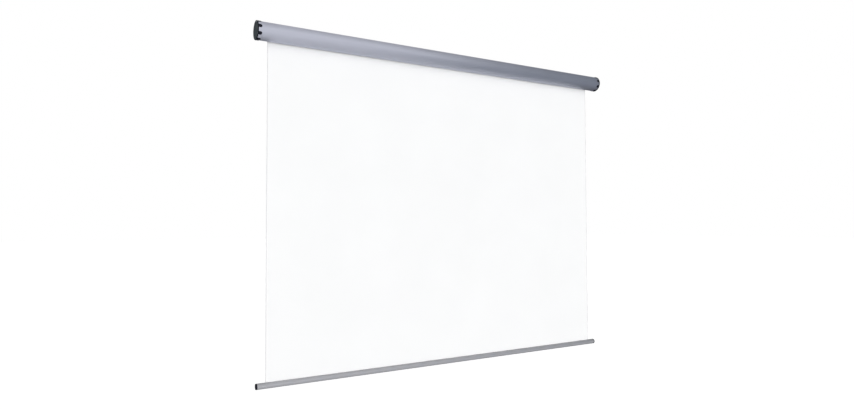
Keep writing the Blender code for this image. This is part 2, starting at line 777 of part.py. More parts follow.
def roller_plug(name, side, hole):
    """A moulded plug: a barrel that clears the groove, and a flange against the tube."""
    barrel = [tube_inside(ROLLER, GAP), bore(hole)]
    low, high = ends(side, ROLLER_HALF - PLUG_DEPTH, PLUG_FACE - PLUG_FLANGE / 2)
    plug = extrusion(name, barrel, low, high, INNER_PLASTIC, ROLLER_AXIS)
    low, high = ends(side, PLUG_FACE - PLUG_FLANGE, PLUG_FACE)
    disc = [circle(ROLLER_RADIUS, step=MEDIUM), bore(hole)]
    tool = extrusion("plug_flange", disc, low, high, INNER_PLASTIC, ROLLER_AXIS, False)
    return boolean(plug, "UNION", tool)


def make_roller():
    loops = [tube_outside(ROLLER), tube_inside(ROLLER)]
    extrusion("roller_tube", loops, -ROLLER_HALF, ROLLER_HALF, MILL_ALUMINIUM, ROLLER_AXIS)
    half = FABRIC_WIDTH / 2
    rod = [circle(SPLINE_RADIUS, groove_centre(ROLLER), 2 * COARSE)]
    extrusion("roller_spline", rod, -half, half, INNER_PLASTIC, ROLLER_AXIS)
    folded = hem(ROLLER, GROOVE_DEPTH)
    extrusion("fabric_top_hem", folded, -half, half, SCREEN_WHITE, ROLLER_AXIS)


def make_wrap():
    """The turns left on the roller: a spiral that ends where the fabric hangs free."""
    count = math.ceil(TURNS_LEFT * WRAP_STEPS_A_TURN)
    outer_edge, inner_edge = [], []
    for k in range(count + 1):
        angle = TURNS_LEFT * TURN * (1 - k / count)
        inner = WRAP_START + LAYER_PITCH * (TURNS_LEFT - angle / TURN)
        inner_edge.append(polar(inner, angle))
        outer_edge.append(polar(inner + FABRIC_THICKNESS, angle))
    half = FABRIC_WIDTH / 2
    outline = inner_edge + outer_edge[::-1]
    extrusion("fabric_wrap", [outline], -half, half, SCREEN_WHITE, ROLLER_AXIS)


def make_idler():
    """The roller's right end: a plug, its pivot pin, and the bush that the cap holds."""
    roller_plug("idler_plug", 1, PIN_RADIUS + GAP)
    low, high = ROLLER_HALF - PLUG_DEPTH, BOSS_FACE + SOCKET_DEPTH - PIN_END_GAP
    profile = [
        (low, 0),
        (low, PIN_RADIUS),
        (high - PIN_CHAMFER, PIN_RADIUS),
        (high, PIN_RADIUS - PIN_CHAMFER),
        (high, 0),
    ]
    turned("idler_pin", profile, ZINC_STEEL, ROLLER_AXIS, steps=PIN_STEPS)
    inner, collar = PIN_RADIUS + TRAP_GAP, BUSH_RADIUS + BUSH_COLLAR_STEP
    low, high = BOSS_FACE - GAP - BUSH_COLLAR, BOSS_FACE + SOCKET_DEPTH
    profile = [
        (low, inner),
        (low, collar),
        (low + BUSH_COLLAR, collar),
        (low + BUSH_COLLAR, BUSH_RADIUS),
        (high, BUSH_RADIUS),
        (high, inner),
    ]
    turned("idler_bush", profile, INNER_PLASTIC, CASING_AXIS, steps=PIN_STEPS)


# Ratchet in the roller's left end

def pawl_points():
    """The engaged nose, and the lever's length and direction, for a pivot straight behind."""
    nose = polar(PAWL_NOSE, PAWL_LEAD)
    along, up = nose[0] - PAWL_PIVOT, nose[1]
    return math.hypot(along, up), math.atan2(up, along)


def pawl_lift():
    """How far a pawl turns back from the notch until the wheel can pass under it."""
    reach, direction = pawl_points()
    belly = math.asin((WHEEL_RADIUS + PAWL_CLEARANCE + PAWL_EYE) / PAWL_PIVOT)
    taper = math.asin((PAWL_EYE - PAWL_TIP) / reach)
    return direction - (math.pi - belly + taper)


def lever_outline(reach, grow=0.0):
    """A tapered lever from an eye at the origin to a round tip at (reach, 0)."""
    eye, tip = PAWL_EYE + grow, PAWL_TIP + grow
    lean = math.acos((eye - tip) / reach)
    return arc(eye, lean, TURN - lean, step=COARSE) + arc(tip, -lean, lean, (reach, 0), COARSE)


def notch_outline(at):
    """What a pawl sweeps as its nose drops into the wheel, with a clearance round it."""
    reach, direction = pawl_points()
    eye, tip = PAWL_EYE + NOTCH_GAP, PAWL_TIP + NOTCH_GAP
    lean = math.acos((eye - tip) / reach)
    points = arc(tip, lean, 0, (reach, 0), COARSE)
    points += arc(reach + tip, 0, -2 * pawl_lift(), step=COARSE)[1:]
    points += arc(eye, -2 * pawl_lift(), lean - TURN, step=COARSE)
    return turned_to(points, direction + at, polar(PAWL_PIVOT, at))


def make_ratchet():
    face = PLUG_FACE
    pawl_low, pawl_high = ends(-1, face + GAP, face + GAP + PAWL_THICKNESS)
    housing = roller_plug("ratchet_housing", -1, ROD_RADIUS + TRAP_GAP)
    rim = [
        circle(ROLLER_RADIUS, step=MEDIUM),
        circle(ROLLER_RADIUS - RIM_THICKNESS, step=MEDIUM),
    ]
    low, high = ends(-1, face - PLUG_FLANGE / 2, face + PAWL_THICKNESS + RIM_PAST_PAWLS)
    tool = extrusion("housing_rim", rim, low, high, INNER_PLASTIC, ROLLER_AXIS, False)
    boolean(housing, "UNION", tool)

    wheel = extrusion(
        "ratchet_wheel",
        [circle(WHEEL_RADIUS, step=MEDIUM), bore(ROD_RADIUS + GAP)],
        pawl_low,
        pawl_high,
        ZINC_STEEL,
        CASING_AXIS,
    )
    reach, direction = pawl_points()
    hole_end = ROLLER_HALF - PLUG_DEPTH / 2
    for word, at in zip(("lower", "upper"), PAWL_ANGLES):
        across, up = polar(PAWL_PIVOT, at)
        notch = [notch_outline(at)]
        low, high = pawl_low - OVERCUT, pawl_high + OVERCUT
        tool = extrusion("notch", notch, low, high, ZINC_STEEL, CASING_AXIS, False)
        boolean(wheel, "DIFFERENCE", tool)

        hole = [bore(PAWL_PIN_RADIUS + GAP, (across, up))]
        low, high = ends(-1, hole_end, face + OVERCUT)
        tool = extrusion("pin_hole", hole, low, high, INNER_PLASTIC, ROLLER_AXIS, False)
        boolean(housing, "DIFFERENCE", tool)

        pivot = empty(f"pawl_{word}_pivot", (0, across, up), ROLLER_AXIS)
        lever = turned_to(lever_outline(reach), direction + at - pawl_lift(), (0, 0))
        eye = bore(PAWL_PIN_RADIUS + GAP)
        extrusion(f"pawl_{word}", [lever, eye], pawl_low, pawl_high, ZINC_STEEL, pivot)
        pawl_pin(f"pawl_pin_{word}", across, up, hole_end + GAP)


def pawl_pin(name, across, up, start):
    """A headed pin that the pawl turns on, from the bottom of its hole past the pawl."""
    head = PLUG_FACE + PAWL_THICKNESS + 2 * GAP
    top = head + PAWL_PIN_HEAD
    profile = [
        (-start, 0),
        (-start, PAWL_PIN_RADIUS),
        (-head, PAWL_PIN_RADIUS),
        (-head, PAWL_PIN_RADIUS + 2 * PAWL_PIN_EDGE),
        (-top, PAWL_PIN_RADIUS + PAWL_PIN_EDGE),
        (-top, 0),
    ]
    pin = turned(name, profile, ZINC_STEEL, ROLLER_AXIS, steps=PIN_STEPS)
    pin.matrix_local = Matrix.Translation((0, across, up)) @ ALONG_X


# Spring drive

def make_spring_drive():
    # These are distances left of the middle.
    spring_start = ROLLER_HALF - PLUG_DEPTH - SPRING_FROM_PLUG
    spring_end = spring_start - SPRING_LENGTH
    rod_end = spring_end - ROD_PAST_SPRING
    blade_start = PLUG_FACE + PAWL_THICKNESS + 3 * GAP
    rod_start = blade_start + BLADE_ROOT
    profile = [
        (-rod_end, 0),
        (-rod_end - ROD_CHAMFER, ROD_RADIUS),
        (-rod_start, ROD_RADIUS),
        (-rod_start, 0),
    ]
    rod = turned("spring_rod", profile, ZINC_STEEL, CASING_AXIS, steps=ROD_STEPS)
    half_width, half_height = BLADE_WIDTH / 2, BLADE_HEIGHT / 2
    blade = [box((-half_width, -half_height), (half_width, half_height))]
    low, high = ends(-1, blade_start, BOSS_FACE + SOCKET_DEPTH)
    tool = extrusion("spear_blade", blade, low, high, ZINC_STEEL, CASING_AXIS, False)
    boolean(rod, "UNION", tool)

    barrel = [circle(BARREL_RADIUS, step=COARSE), bore(ROD_RADIUS + GAP)]
    low, high = ends(-1, spring_start - BARREL_LENGTH, spring_start)
    extrusion("spring_barrel", barrel, low, high, INNER_PLASTIC, CASING_AXIS)

    anchor_face = spring_end - ANCHOR_FROM_SPRING
    plug = [tube_inside(ROLLER, GAP), bore(ROD_RADIUS + TRAP_GAP)]
    low, high = ends(-1, anchor_face - PLUG_DEPTH, anchor_face)
    anchor = extrusion("spring_anchor", plug, low, high, INNER_PLASTIC, ROLLER_AXIS)
    snout = [circle(BARREL_RADIUS, step=COARSE), bore(ROD_RADIUS + TRAP_GAP)]
    low, high = ends(-1, anchor_face - SNOUT_ROOT, spring_end + BARREL_LENGTH)
    tool = extrusion("anchor_snout", snout, low, high, INNER_PLASTIC, ROLLER_AXIS, False)
    boolean(anchor, "UNION", tool)
    make_spring(spring_start, spring_end)


def make_spring(start, end):
    """One wire wound round the rod, close on a barrel at each end."""
    count = SPRING_TURNS * POINTS_A_TURN
    pitch = (start - end) / SPRING_TURNS
    curve = bpy.data.curves.new("torsion_spring", "CURVE")
    curve.dimensions = "3D"
    curve.bevel_depth = SPRING_WIRE
    curve.bevel_resolution = 1
    curve.use_fill_caps = True
    spline = curve.splines.new("POLY")
    spline.points.add(count)
    for k, point in enumerate(spline.points):
        behind, above = polar(SPRING_RADIUS, TURN * k / POINTS_A_TURN)
        point.co = (-start + (start - end) * k / count, behind, above, 1)
    spring = bpy.data.objects.new("torsion_spring", curve)
    finished(spring, SPRING_STEEL, CASING_AXIS, True)
    print(f"spring: least gap between turns {1000 * (pitch - 2 * SPRING_WIRE):.2f} mm")


# Fabric and bottom bar

def make_fabric():
    half = FABRIC_WIDTH / 2
    near, far = FABRIC_PLANE - FABRIC_THICKNESS / 2, FABRIC_PLANE + FABRIC_THICKNESS / 2
    top, bottom = -GAP, -BAR_DROP + BAR_RADIUS + 2 * GAP
    sheet = [box((near, bottom), (far, top))]
    extrusion("screen_fabric", sheet, -half, half, SCREEN_WHITE, CASING_AXIS)


def bar_plug(name, side):
    face, back = BAR_HALF, BAR_HALF - PLUG_CAP
    points = [(back, 0), (back, BAR_RADIUS)]
    points += [
        (face - PLUG_EDGE + along, BAR_RADIUS - PLUG_EDGE + out)
        for out, along in arc(PLUG_EDGE, 0, math.pi / 2, step=EDGE_STEP)
    ]
    points.append((face, 0))
    profile = [(side * along, radius) for along, radius in points]
    plug = turned(name, profile, CAP_PLASTIC, BAR_AXIS, steps=ROUND_STEPS // 2)
    low, high = ends(side, back - PLUG_SPIGOT, back + PLUG_CAP / 2)
    spigot = [tube_inside(BAR, GAP)]
    tool = extrusion("plug_spigot", spigot, low, high, CAP_PLASTIC, BAR_AXIS, False)
    return boolean(plug, "UNION", tool)


def make_bar():
    loops = [tube_outside(BAR), tube_inside(BAR)]
    extrusion("bar_tube", loops, -BAR_TUBE_HALF, BAR_TUBE_HALF, BAR_SILVER, BAR_AXIS)
    bar_plug("bar_plug_left", -1)
    bar_plug("bar_plug_right", 1)
    half = FABRIC_WIDTH / 2
    rod = [circle(SPLINE_RADIUS, groove_centre(BAR), 2 * COARSE)]
    extrusion("bar_spline", rod, -half, half, INNER_PLASTIC, BAR_AXIS)
    folded = hem(BAR, GROOVE_DEPTH + GAP)
    extrusion("fabric_bottom_hem", folded, -half, half, SCREEN_WHITE, BAR_AXIS)


make_casing()
make_end_caps()
make_brackets()
make_roller()
make_wrap()
make_idler()
make_ratchet()
make_spring_drive()
make_fabric()
make_bar()

STOP_DISTANCE = CAP_RADIUS + BAR_RADIUS + STOP_GAP
TRAVEL = BAR_DROP - math.sqrt(STOP_DISTANCE**2 - FABRIC_PLANE**2)
print(f"bar travel {1000 * TRAVEL:.2f} mm, fabric {1000 * FABRIC_PLANE:.3f} mm behind the axis")
print(f"bar axis {1000 * BAR_DROP:.2f} mm below the casing axis")
print(f"pawls lift {math.degrees(pawl_lift()):.2f} degrees")
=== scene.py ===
# %% [markdown]
# # A pull down projector screen
# A white projection sheet hangs from a round aluminium casing. A spring roller inside the
# casing winds the sheet up, and a round bar along its lower edge keeps it straight.
# The working model is loaded first. Each step after it says what a piece or a finish is on
# the real object, how it could be made, and why one way was chosen.

# %% Load the working model
import json
import math

import bmesh
import bpy
from mathutils import Matrix, Vector


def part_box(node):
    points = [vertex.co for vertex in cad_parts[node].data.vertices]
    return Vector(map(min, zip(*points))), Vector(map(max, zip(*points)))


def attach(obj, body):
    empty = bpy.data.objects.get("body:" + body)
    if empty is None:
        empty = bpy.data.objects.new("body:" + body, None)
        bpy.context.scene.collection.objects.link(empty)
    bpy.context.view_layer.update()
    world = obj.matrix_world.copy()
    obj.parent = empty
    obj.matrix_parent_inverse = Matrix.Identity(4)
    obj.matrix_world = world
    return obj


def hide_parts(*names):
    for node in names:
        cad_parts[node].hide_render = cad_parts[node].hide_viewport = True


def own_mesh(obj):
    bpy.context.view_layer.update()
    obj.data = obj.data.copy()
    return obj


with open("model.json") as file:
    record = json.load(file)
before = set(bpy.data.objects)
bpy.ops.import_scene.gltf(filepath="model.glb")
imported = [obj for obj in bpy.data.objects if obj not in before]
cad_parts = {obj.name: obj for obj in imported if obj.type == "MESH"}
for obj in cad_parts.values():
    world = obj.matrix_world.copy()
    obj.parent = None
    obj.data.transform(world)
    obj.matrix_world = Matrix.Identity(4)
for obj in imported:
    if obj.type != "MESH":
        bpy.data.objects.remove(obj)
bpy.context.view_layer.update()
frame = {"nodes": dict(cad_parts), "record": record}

# %% [markdown]
# ## The camera
# The screen was seen from its lower left: the casing runs away to the right and shows its
# underside. The camera could be placed by eye, but lining up the ends of the casing and the
# bar with a known size gives its place and its lens, so those numbers are used here.

# %% Place the camera
PICTURE_WIDTH = 854
FOCAL_PIXELS = 592.3
EYE = Vector((-1.5415, -2.4685, -0.8011))
YAW = math.radians(29.89)
PITCH = math.radians(2.01)
ROLL = math.radians(-0.16)


def aimed(yaw, pitch, roll):
    """The camera's axes: right, up and back, as the columns of a matrix."""
    ahead = Vector((
        math.sin(yaw) * math.cos(pitch), math.cos(yaw) * math.cos(pitch), math.sin(pitch)
    ))
    right = Vector((math.cos(yaw), -math.sin(yaw), 0))
    up = right.cross(ahead)
    across = right * math.cos(roll) + up * math.sin(roll)
    upright = up * math.cos(roll) - right * math.sin(roll)
    return Matrix((across, upright, -ahead)).transposed()


def added(name, data):
    """An object for some data, put into the scene."""
    thing = bpy.data.objects.new(name, data)
    bpy.context.collection.objects.link(thing)
    return thing


def make_camera():
    lens = bpy.data.cameras.new("eye")
    lens.lens = lens.sensor_width * FOCAL_PIXELS / PICTURE_WIDTH
    lens.clip_end = 200
    camera = added("eye", lens)
    camera.matrix_world = Matrix.Translation(EYE) @ aimed(YAW, PITCH, ROLL).to_4x4()
    bpy.context.scene.camera = camera
    print(f"lens {lens.lens:.2f} mm")


make_camera()
bpy.context.scene.view_settings.view_transform = "Standard"

# %% [markdown]
# ## A short way to write node trees
# A finish in Blender is a tree of nodes. Adding each node and each link by hand takes many
# lines, so `add` makes a node, sets its options and fills or links its inputs in one call.
# Inputs are given in order, or by name with the spaces written as underscores. A whole node
# given as a value stands for its first output.

# %% Helpers for node trees
def cleared(owner):
    """The node tree of a finish or of the world, emptied."""
    owner.use_nodes = True
    owner.node_tree.nodes.clear()
    return owner.node_tree


def put(tree, socket, value):
    """Links a socket or another node's first output, or sets a plain value."""
    if isinstance(value, bpy.types.Node):
        value = value.outputs[0]
    if isinstance(value, bpy.types.NodeSocket):
        tree.links.new(value, socket)
    elif socket.type == "RGBA":
        socket.default_value = (*value[:3], 1)
    else:
        socket.default_value = value


def add(tree, kind, *values, **named):
    made = tree.nodes.new("ShaderNode" + kind)
    options = [key for key in named if hasattr(made, key)]
    for key in options:
        setattr(made, key, named[key])
    for key in named.keys() - options:
        put(tree, made.inputs[key.replace("_", " ")], named[key])
    for socket, value in zip(made.inputs, values):
        put(tree, socket, value)
    return made


def maths(tree, operation, *values):
    return add(tree, "Math", *values, operation=operation)


def sum_of(tree, a, b):
    return maths(tree, "ADD", a, b)


def product(tree, a, b):
    return maths(tree, "MULTIPLY", a, b)


def scaled(tree, colour, factor):
    """A colour with all of its parts times one factor."""
    return add(tree, "VectorMath", colour, Scale=factor, operation="SCALE")


def parts_of(tree, vector):
    """The X, Y and Z of a vector, by name."""
    return add(tree, "SeparateXYZ", vector).outputs


def ranged(tree, value, low, high, to_low=0.0, to_high=1.0, smooth=False):
    """A value moved from one range to another, and held inside it."""
    kind = "SMOOTHSTEP" if smooth else "LINEAR"
    return add(tree, "MapRange", value, low, high, to_low, to_high, interpolation_type=kind)


def own_place(tree):
    """Where a point lies on its piece, in metres."""
    return add(tree, "TexCoord").outputs["Object"]


def noise(tree, scale, detail, spot=None):
    """Soft random values. The scale is how many changes there are to a metre."""
    spot = own_place(tree) if spot is None else spot
    return add(tree, "TexNoise", Vector=spot, Scale=scale, Detail=detail)


def facing(tree):
    """Which way the surface looks, by name of its X, Y and Z."""
    return parts_of(tree, add(tree, "NewGeometry").outputs["Normal"])


MIX_SOCKETS = {"RGBA": (6, 7, 2), "FLOAT": (2, 3, 0)}  # where the two inputs and the result are


def mixed(tree, share, first, second, kind="RGBA"):
    """One colour, or one value, going over into another."""
    before, after, result = MIX_SOCKETS[kind]
    made = add(tree, "Mix", share, data_type=kind)
    put(tree, made.inputs[before], first)
    put(tree, made.inputs[after], second)
    return made.outputs[result]


# %% [markdown]
# ## The studio
# The screen hangs in a plain studio: a pale floor, a white backdrop and soft light. A satin
# tube shows what stands round it, so the room matters. It is bright on the left and dim and
# bluish on the right, which is why the tube grows darker towards its far end, and it is
# dimmer overhead. A dark screen stands far behind on the left, and the left cap's face mirrors
# it. One world with these changes lights a flat sheet evenly, where a lamp close by would
# leave the sheet bright at one side.

# %% Light the room
ROOM_LEFT = (0.80, 0.80, 0.80)
ROOM_RIGHT = (0.165, 0.195, 0.228)  # a little bluish, as a far window gives
FLAG = (0.30, 0.36, 0.36)  # the dark screen that the left cap's face mirrors
OVERHEAD = 0.60  # how bright the room is above, beside its walls
WHITE = (1.0, 1.0, 1.0)

# From where to where each change runs, as a direction's share along one axis
DIM_RIGHT = (0.24, 0.90)
DIM_UP = (0.3, 0.9)
FLAG_LEFT = (0.1, -0.2)
FLAG_BEHIND = (0.3, 0.7)
BACKDROP_BEHIND = (0.0, 0.3)
BACKDROP_RIGHT = (-0.2, 0.1)
BACKDROP_LOW = (0.1, 0.4)


def whoever_looks(tree):
    """One for the camera's rays and those that pass through glass, and one for mirror rays."""
    path = add(tree, "LightPath").outputs
    straight = maths(tree, "MAXIMUM", path["Is Camera Ray"], path["Is Transmission Ray"])
    return straight, path["Is Glossy Ray"]


def make_room():
    world = bpy.data.worlds.new("studio")
    bpy.context.scene.world = world
    tree = cleared(world)
    along = parts_of(tree, add(tree, "TexCoord").outputs["Generated"])
    right = ranged(tree, along["X"], *DIM_RIGHT, smooth=True)
    flag = product(
        tree, ranged(tree, along["X"], *FLAG_LEFT), ranged(tree, along["Y"], *FLAG_BEHIND)
    )
    sides = mixed(tree, right, mixed(tree, flag, ROOM_LEFT, FLAG), ROOM_RIGHT)
    dimmer = ranged(tree, along["Z"], *DIM_UP, 1.0, OVERHEAD, smooth=True)
    behind = product(
        tree,
        ranged(tree, along["Y"], *BACKDROP_BEHIND, smooth=True),
        ranged(tree, along["X"], *BACKDROP_RIGHT),
    )
    low = ranged(tree, along["Z"], *BACKDROP_LOW, 1.0, 0.0, smooth=True)
    backdrop = product(tree, behind, low)
    straight, mirror = whoever_looks(tree)
    white = maths(tree, "MAXIMUM", straight, product(tree, mirror, backdrop))
    colour = mixed(tree, white, scaled(tree, sides, dimmer), WHITE)
    glow = add(tree, "Background", Color=colour, Strength=1.0)
    add(tree, "OutputWorld", Surface=glow)
    print("the room goes from", ROOM_LEFT, "on the left to", ROOM_RIGHT, "on the right")


make_room()

# %% [markdown]
# ## Soft lamps and floor
# Two wide suns stand for soft boxes far away. They light every place on the sheet alike, as a
# lamp close by would not. The stronger one comes from the left and a little from below, so
# that the casing leaves no shadow on the sheet, and the weaker one from above. The floor is
# plain and pale. Seen by the camera it is lifted to white, and only part of its brightness
# comes from the lamps, so the shadow of the screen still lies on it. In a reflection it is a
# card that is pale at the left, dim at the right and dark behind the screen.

# %% Set the lamps and the floor
FLOOR_LEVEL = -2.15
FLOOR_HALF = 60.0
FLOOR_COLOUR = (0.80, 0.80, 0.80)
LIFT = 0.62  # share of the floor's brightness that doesn't come from the lamps
LIFTED = 1.45  # how bright that share is
CARD_LEFT = (0.80, 0.80, 0.81)  # the floor in a reflection: left, right and behind the screen
CARD_RIGHT = (0.19, 0.22, 0.26)
CARD_BEHIND = (0.08, 0.08, 0.09)
CARD_FADES = (0.0, 2.6)  # metres along X
CARD_ENDS = (-0.8, 0.0)  # metres along Y


def make_lamp(name, power, spread, left, height):
    """A wide sun: how far left of straight in front and how high it stands, in degrees."""
    light = bpy.data.lights.new(name, "SUN")
    light.energy = power
    light.angle = math.radians(spread)
    lamp = added(name, light)
    lamp.rotation_euler = (math.radians(90 - height), 0, math.radians(-left))
    print(name, "from", left, "degrees left, spread over", spread, "degrees")


def make_floor():
    mesh = bpy.data.meshes.new("floor")
    corners = [(-1, -1), (1, -1), (1, 1), (-1, 1)]
    spots = [(FLOOR_HALF * x, FLOOR_HALF * y, FLOOR_LEVEL) for x, y in corners]
    mesh.from_pydata(spots, [], [(0, 1, 2, 3)])
    floor = added("floor", mesh)
    paint = bpy.data.materials.new("pale_floor")
    tree = cleared(paint)
    matt = add(tree, "BsdfDiffuse", Color=FLOOR_COLOUR)
    straight, mirror = whoever_looks(tree)
    along = parts_of(tree, own_place(tree))
    fade = ranged(tree, along["X"], *CARD_FADES, smooth=True)
    end = ranged(tree, along["Y"], *CARD_ENDS, smooth=True)
    card = mixed(tree, end, mixed(tree, fade, CARD_LEFT, CARD_RIGHT), CARD_BEHIND)
    bright = scaled(tree, WHITE, LIFTED)
    glow = add(tree, "Emission", Color=mixed(tree, mirror, bright, card), Strength=1.0)
    share = maths(tree, "MAXIMUM", product(tree, straight, LIFT), mirror)
    mix = add(tree, "MixShader", share, matt, glow)
    add(tree, "OutputMaterial", Surface=mix)
    mesh.materials.append(paint)
    floor.visible_shadow = False  # a lamp may stand lower than the floor's far edge


make_lamp("key", power=1.82, spread=24, left=38, height=-7)
make_lamp("fill", power=0.36, spread=50, left=-10, height=24)
make_floor()

# %% [markdown]
# ## Effects that several finishes share
# Real surfaces are never one even colour. Extruded metal carries fine lines from the die,
# moulded plastic has a grain, edges are rubbed brighter, and dust settles on top. Each of
# these is a node group, built once and placed in each finish with its own values. A group
# gives out only colours, values and heights, and the shader itself stays in the finish.

# %% Start a shared effect
def new_sockets(tree, titles, way):
    """Named sockets of a group. One called Colour is a colour, and all others are values."""
    for title in titles:
        kind = "NodeSocketColor" if title == "Colour" else "NodeSocketFloat"
        tree.interface.new_socket(name=title, in_out=way, socket_type=kind)


def shared_effect(name, *takes):
    """Makes a group of the function below it, which returns what the group gives out."""
    def build(fill):
        tree = bpy.data.node_groups.new(name, "ShaderNodeTree")
        new_sockets(tree, takes, "INPUT")
        gives = fill(tree, tree.nodes.new("NodeGroupInput").outputs)
        new_sockets(tree, gives, "OUTPUT")
        leave = tree.nodes.new("NodeGroupOutput")
        for title, value in gives.items():
            put(tree, leave.inputs[title], value)
        print("effect:", name)
        return tree
    return build


def place(tree, effect, **inputs):
    """Puts a shared effect into a finish, with this finish's own values."""
    return add(tree, "Group", node_tree=effect, **inputs).outputs


# %% Clouding: soft patches of slightly different tone and shine
@shared_effect("clouding", "Colour", "Roughness", "Patch Size", "Tone Change", "Roughness Change")
def clouding(tree, get):
    cloud = noise(tree, maths(tree, "DIVIDE", 1.0, get["Patch Size"]), detail=3.0)
    swing = ranged(tree, cloud, 0.3, 0.7, -1.0, 1.0)
    tone = sum_of(tree, 1.0, product(tree, swing, get["Tone Change"]))
    rough = sum_of(tree, get["Roughness"], product(tree, swing, get["Roughness Change"]))
    return {"Colour": scaled(tree, get["Colour"], tone), "Roughness": rough}


# %% Drawn lines: what the die leaves along an extrusion
SQUEEZE = 0.004  # a line is 250 times as long as it is wide
BAND_SCALE = 0.12  # a band is about eight lines wide


@shared_effect("drawn_lines", "Line Width")
def drawn_lines(tree, get):
    squeeze = (SQUEEZE, 1.0, 1.0)
    spot = add(tree, "VectorMath", own_place(tree), squeeze, operation="MULTIPLY")
    fine = maths(tree, "DIVIDE", 1.0, get["Line Width"])
    line = noise(tree, fine, detail=2.0, spot=spot)
    band = noise(tree, product(tree, fine, BAND_SCALE), detail=1.0, spot=spot)
    return {"Height": ranged(tree, line, 0.25, 0.75), "Band": ranged(tree, band, 0.3, 0.7)}


# %% Moulded grain: the fine spark-worn skin of a moulding
@shared_effect("moulded_grain", "Grain Size")
def moulded_grain(tree, get):
    scale = maths(tree, "DIVIDE", 1.0, get["Grain Size"])
    pits = add(tree, "TexVoronoi", Vector=own_place(tree), Scale=scale, feature="SMOOTH_F1")
    deep = product(tree, pits.outputs["Distance"], 0.6)
    return {"Height": sum_of(tree, deep, noise(tree, scale, detail=2.0))}


# %% Edge wear: a mask that follows the corners, inner ones as well as outer
WEAR_BREAKS = 350.0  # breaks in the wear, to a metre


@shared_effect("edge_wear", "Width", "Amount")
def edge_wear(tree, get):
    rounded = add(tree, "Bevel", get["Width"], samples=4)
    plain = add(tree, "NewGeometry").outputs["Normal"]
    same = add(tree, "VectorMath", rounded, plain, operation="DOT_PRODUCT").outputs["Value"]
    corner = ranged(tree, same, 0.98, 0.75)
    patchy = ranged(tree, noise(tree, WEAR_BREAKS, detail=3.0), 0.40, 0.62)
    return {"Mask": product(tree, product(tree, corner, patchy), get["Amount"])}


# %% Settled dust: a thin pale film on what faces up
DUST_COLOUR = (0.50, 0.48, 0.45)
DUST_ROUGHNESS = 0.9
DUST_PATCHES = 55.0  # patches to a metre


@shared_effect("settled_dust", "Colour", "Roughness", "Amount")
def settled_dust(tree, get):
    upward = ranged(tree, facing(tree)["Z"], 0.45, 0.98, smooth=True)
    patchy = ranged(tree, noise(tree, DUST_PATCHES, detail=5.0), 0.35, 0.75, 0.35, 1.0)
    share = product(tree, product(tree, upward, patchy), get["Amount"])
    return {
        "Colour": mixed(tree, share, get["Colour"], DUST_COLOUR),
        "Roughness": mixed(tree, share, get["Roughness"], DUST_ROUGHNESS, "FLOAT"),
    }


# %% [markdown]
# ## The finishes
# Each finish is one Principled shader. Values that are the same all over, such as how metal
# it is, are set on the shader itself. Only what changes over the surface comes from nodes.

# %% Start a finish
PAINTS = {}


def new_paint(name, **constants):
    """A named finish. Returns its tree and its shader."""
    paint = bpy.data.materials.new(name)
    tree = cleared(paint)
    shader = add(tree, "BsdfPrincipled", **constants)
    add(tree, "OutputMaterial", Surface=shader)
    PAINTS[name] = paint
    print("finish:", name)
    return tree, shader


def finish(tree, shader, colour, roughness, height=None, depth=0.0):
    """Feeds the shader with what changes over the surface."""
    put(tree, shader.inputs["Base Color"], colour)
    put(tree, shader.inputs["Roughness"], roughness)
    if height is not None:
        bump = add(tree, "Bump", Strength=1.0, Distance=depth, Height=height)
        put(tree, shader.inputs["Normal"], bump)


# %% [markdown]
# ## Silver casing and bar
# Both are extruded aluminium with a satin silver coat. The casing's is a little cool and
# lilac, and the bar's is darker, more neutral and mirrors less. The roller inside is plain
# aluminium. The die leaves lines along the length, and these spread a reflection round the
# tube. The shader's anisotropy does that without modelling any line: its tangent runs round
# the long axis.

# %% Make the extruded finishes
WORN_ALUMINIUM = (0.72, 0.73, 0.74)


def extruded_paint(name, colour, roughness, metal, line_width, line_depth, dust):
    tree, shader = new_paint(name, Metallic=metal, Anisotropic=0.8)
    round_axis = add(tree, "Tangent", direction_type="RADIAL", axis="X")
    put(tree, shader.inputs["Tangent"], round_axis)
    lines = place(tree, drawn_lines, Line_Width=line_width)
    base = place(
        tree, clouding, Colour=colour, Roughness=roughness, Patch_Size=0.12,
        Tone_Change=0.025, Roughness_Change=0.03,
    )
    rough = sum_of(tree, base["Roughness"], ranged(tree, lines["Band"], 0, 1, -0.04, 0.04))
    film = place(tree, settled_dust, Colour=base["Colour"], Roughness=rough, Amount=dust)
    wear = place(tree, edge_wear, Width=0.0008, Amount=0.6)["Mask"]
    worn = mixed(tree, wear, film["Colour"], WORN_ALUMINIUM)
    finish(tree, shader, worn, film["Roughness"], lines["Height"], depth=line_depth)


extruded_paint(
    "casing_silver", (0.535, 0.550, 0.637), roughness=0.48, metal=0.80,
    line_width=0.0006, line_depth=0.000025, dust=0.16,
)
extruded_paint(
    "bar_silver", (0.375, 0.378, 0.402), roughness=0.48, metal=0.20,
    line_width=0.0005, line_depth=0.000025, dust=0.14,
)
extruded_paint(
    "mill_aluminium", (0.66, 0.67, 0.68), roughness=0.34, metal=1.0,
    line_width=0.0005, line_depth=0.000020, dust=0.05,
)

# %% [markdown]
# ## Moulded plastic
# The end caps and the bar's plugs are dark blue-grey plastic with a fine matt grain. The
# plugs and bushes inside the roller are a natural pale nylon. The same effects serve both,
# with other values.

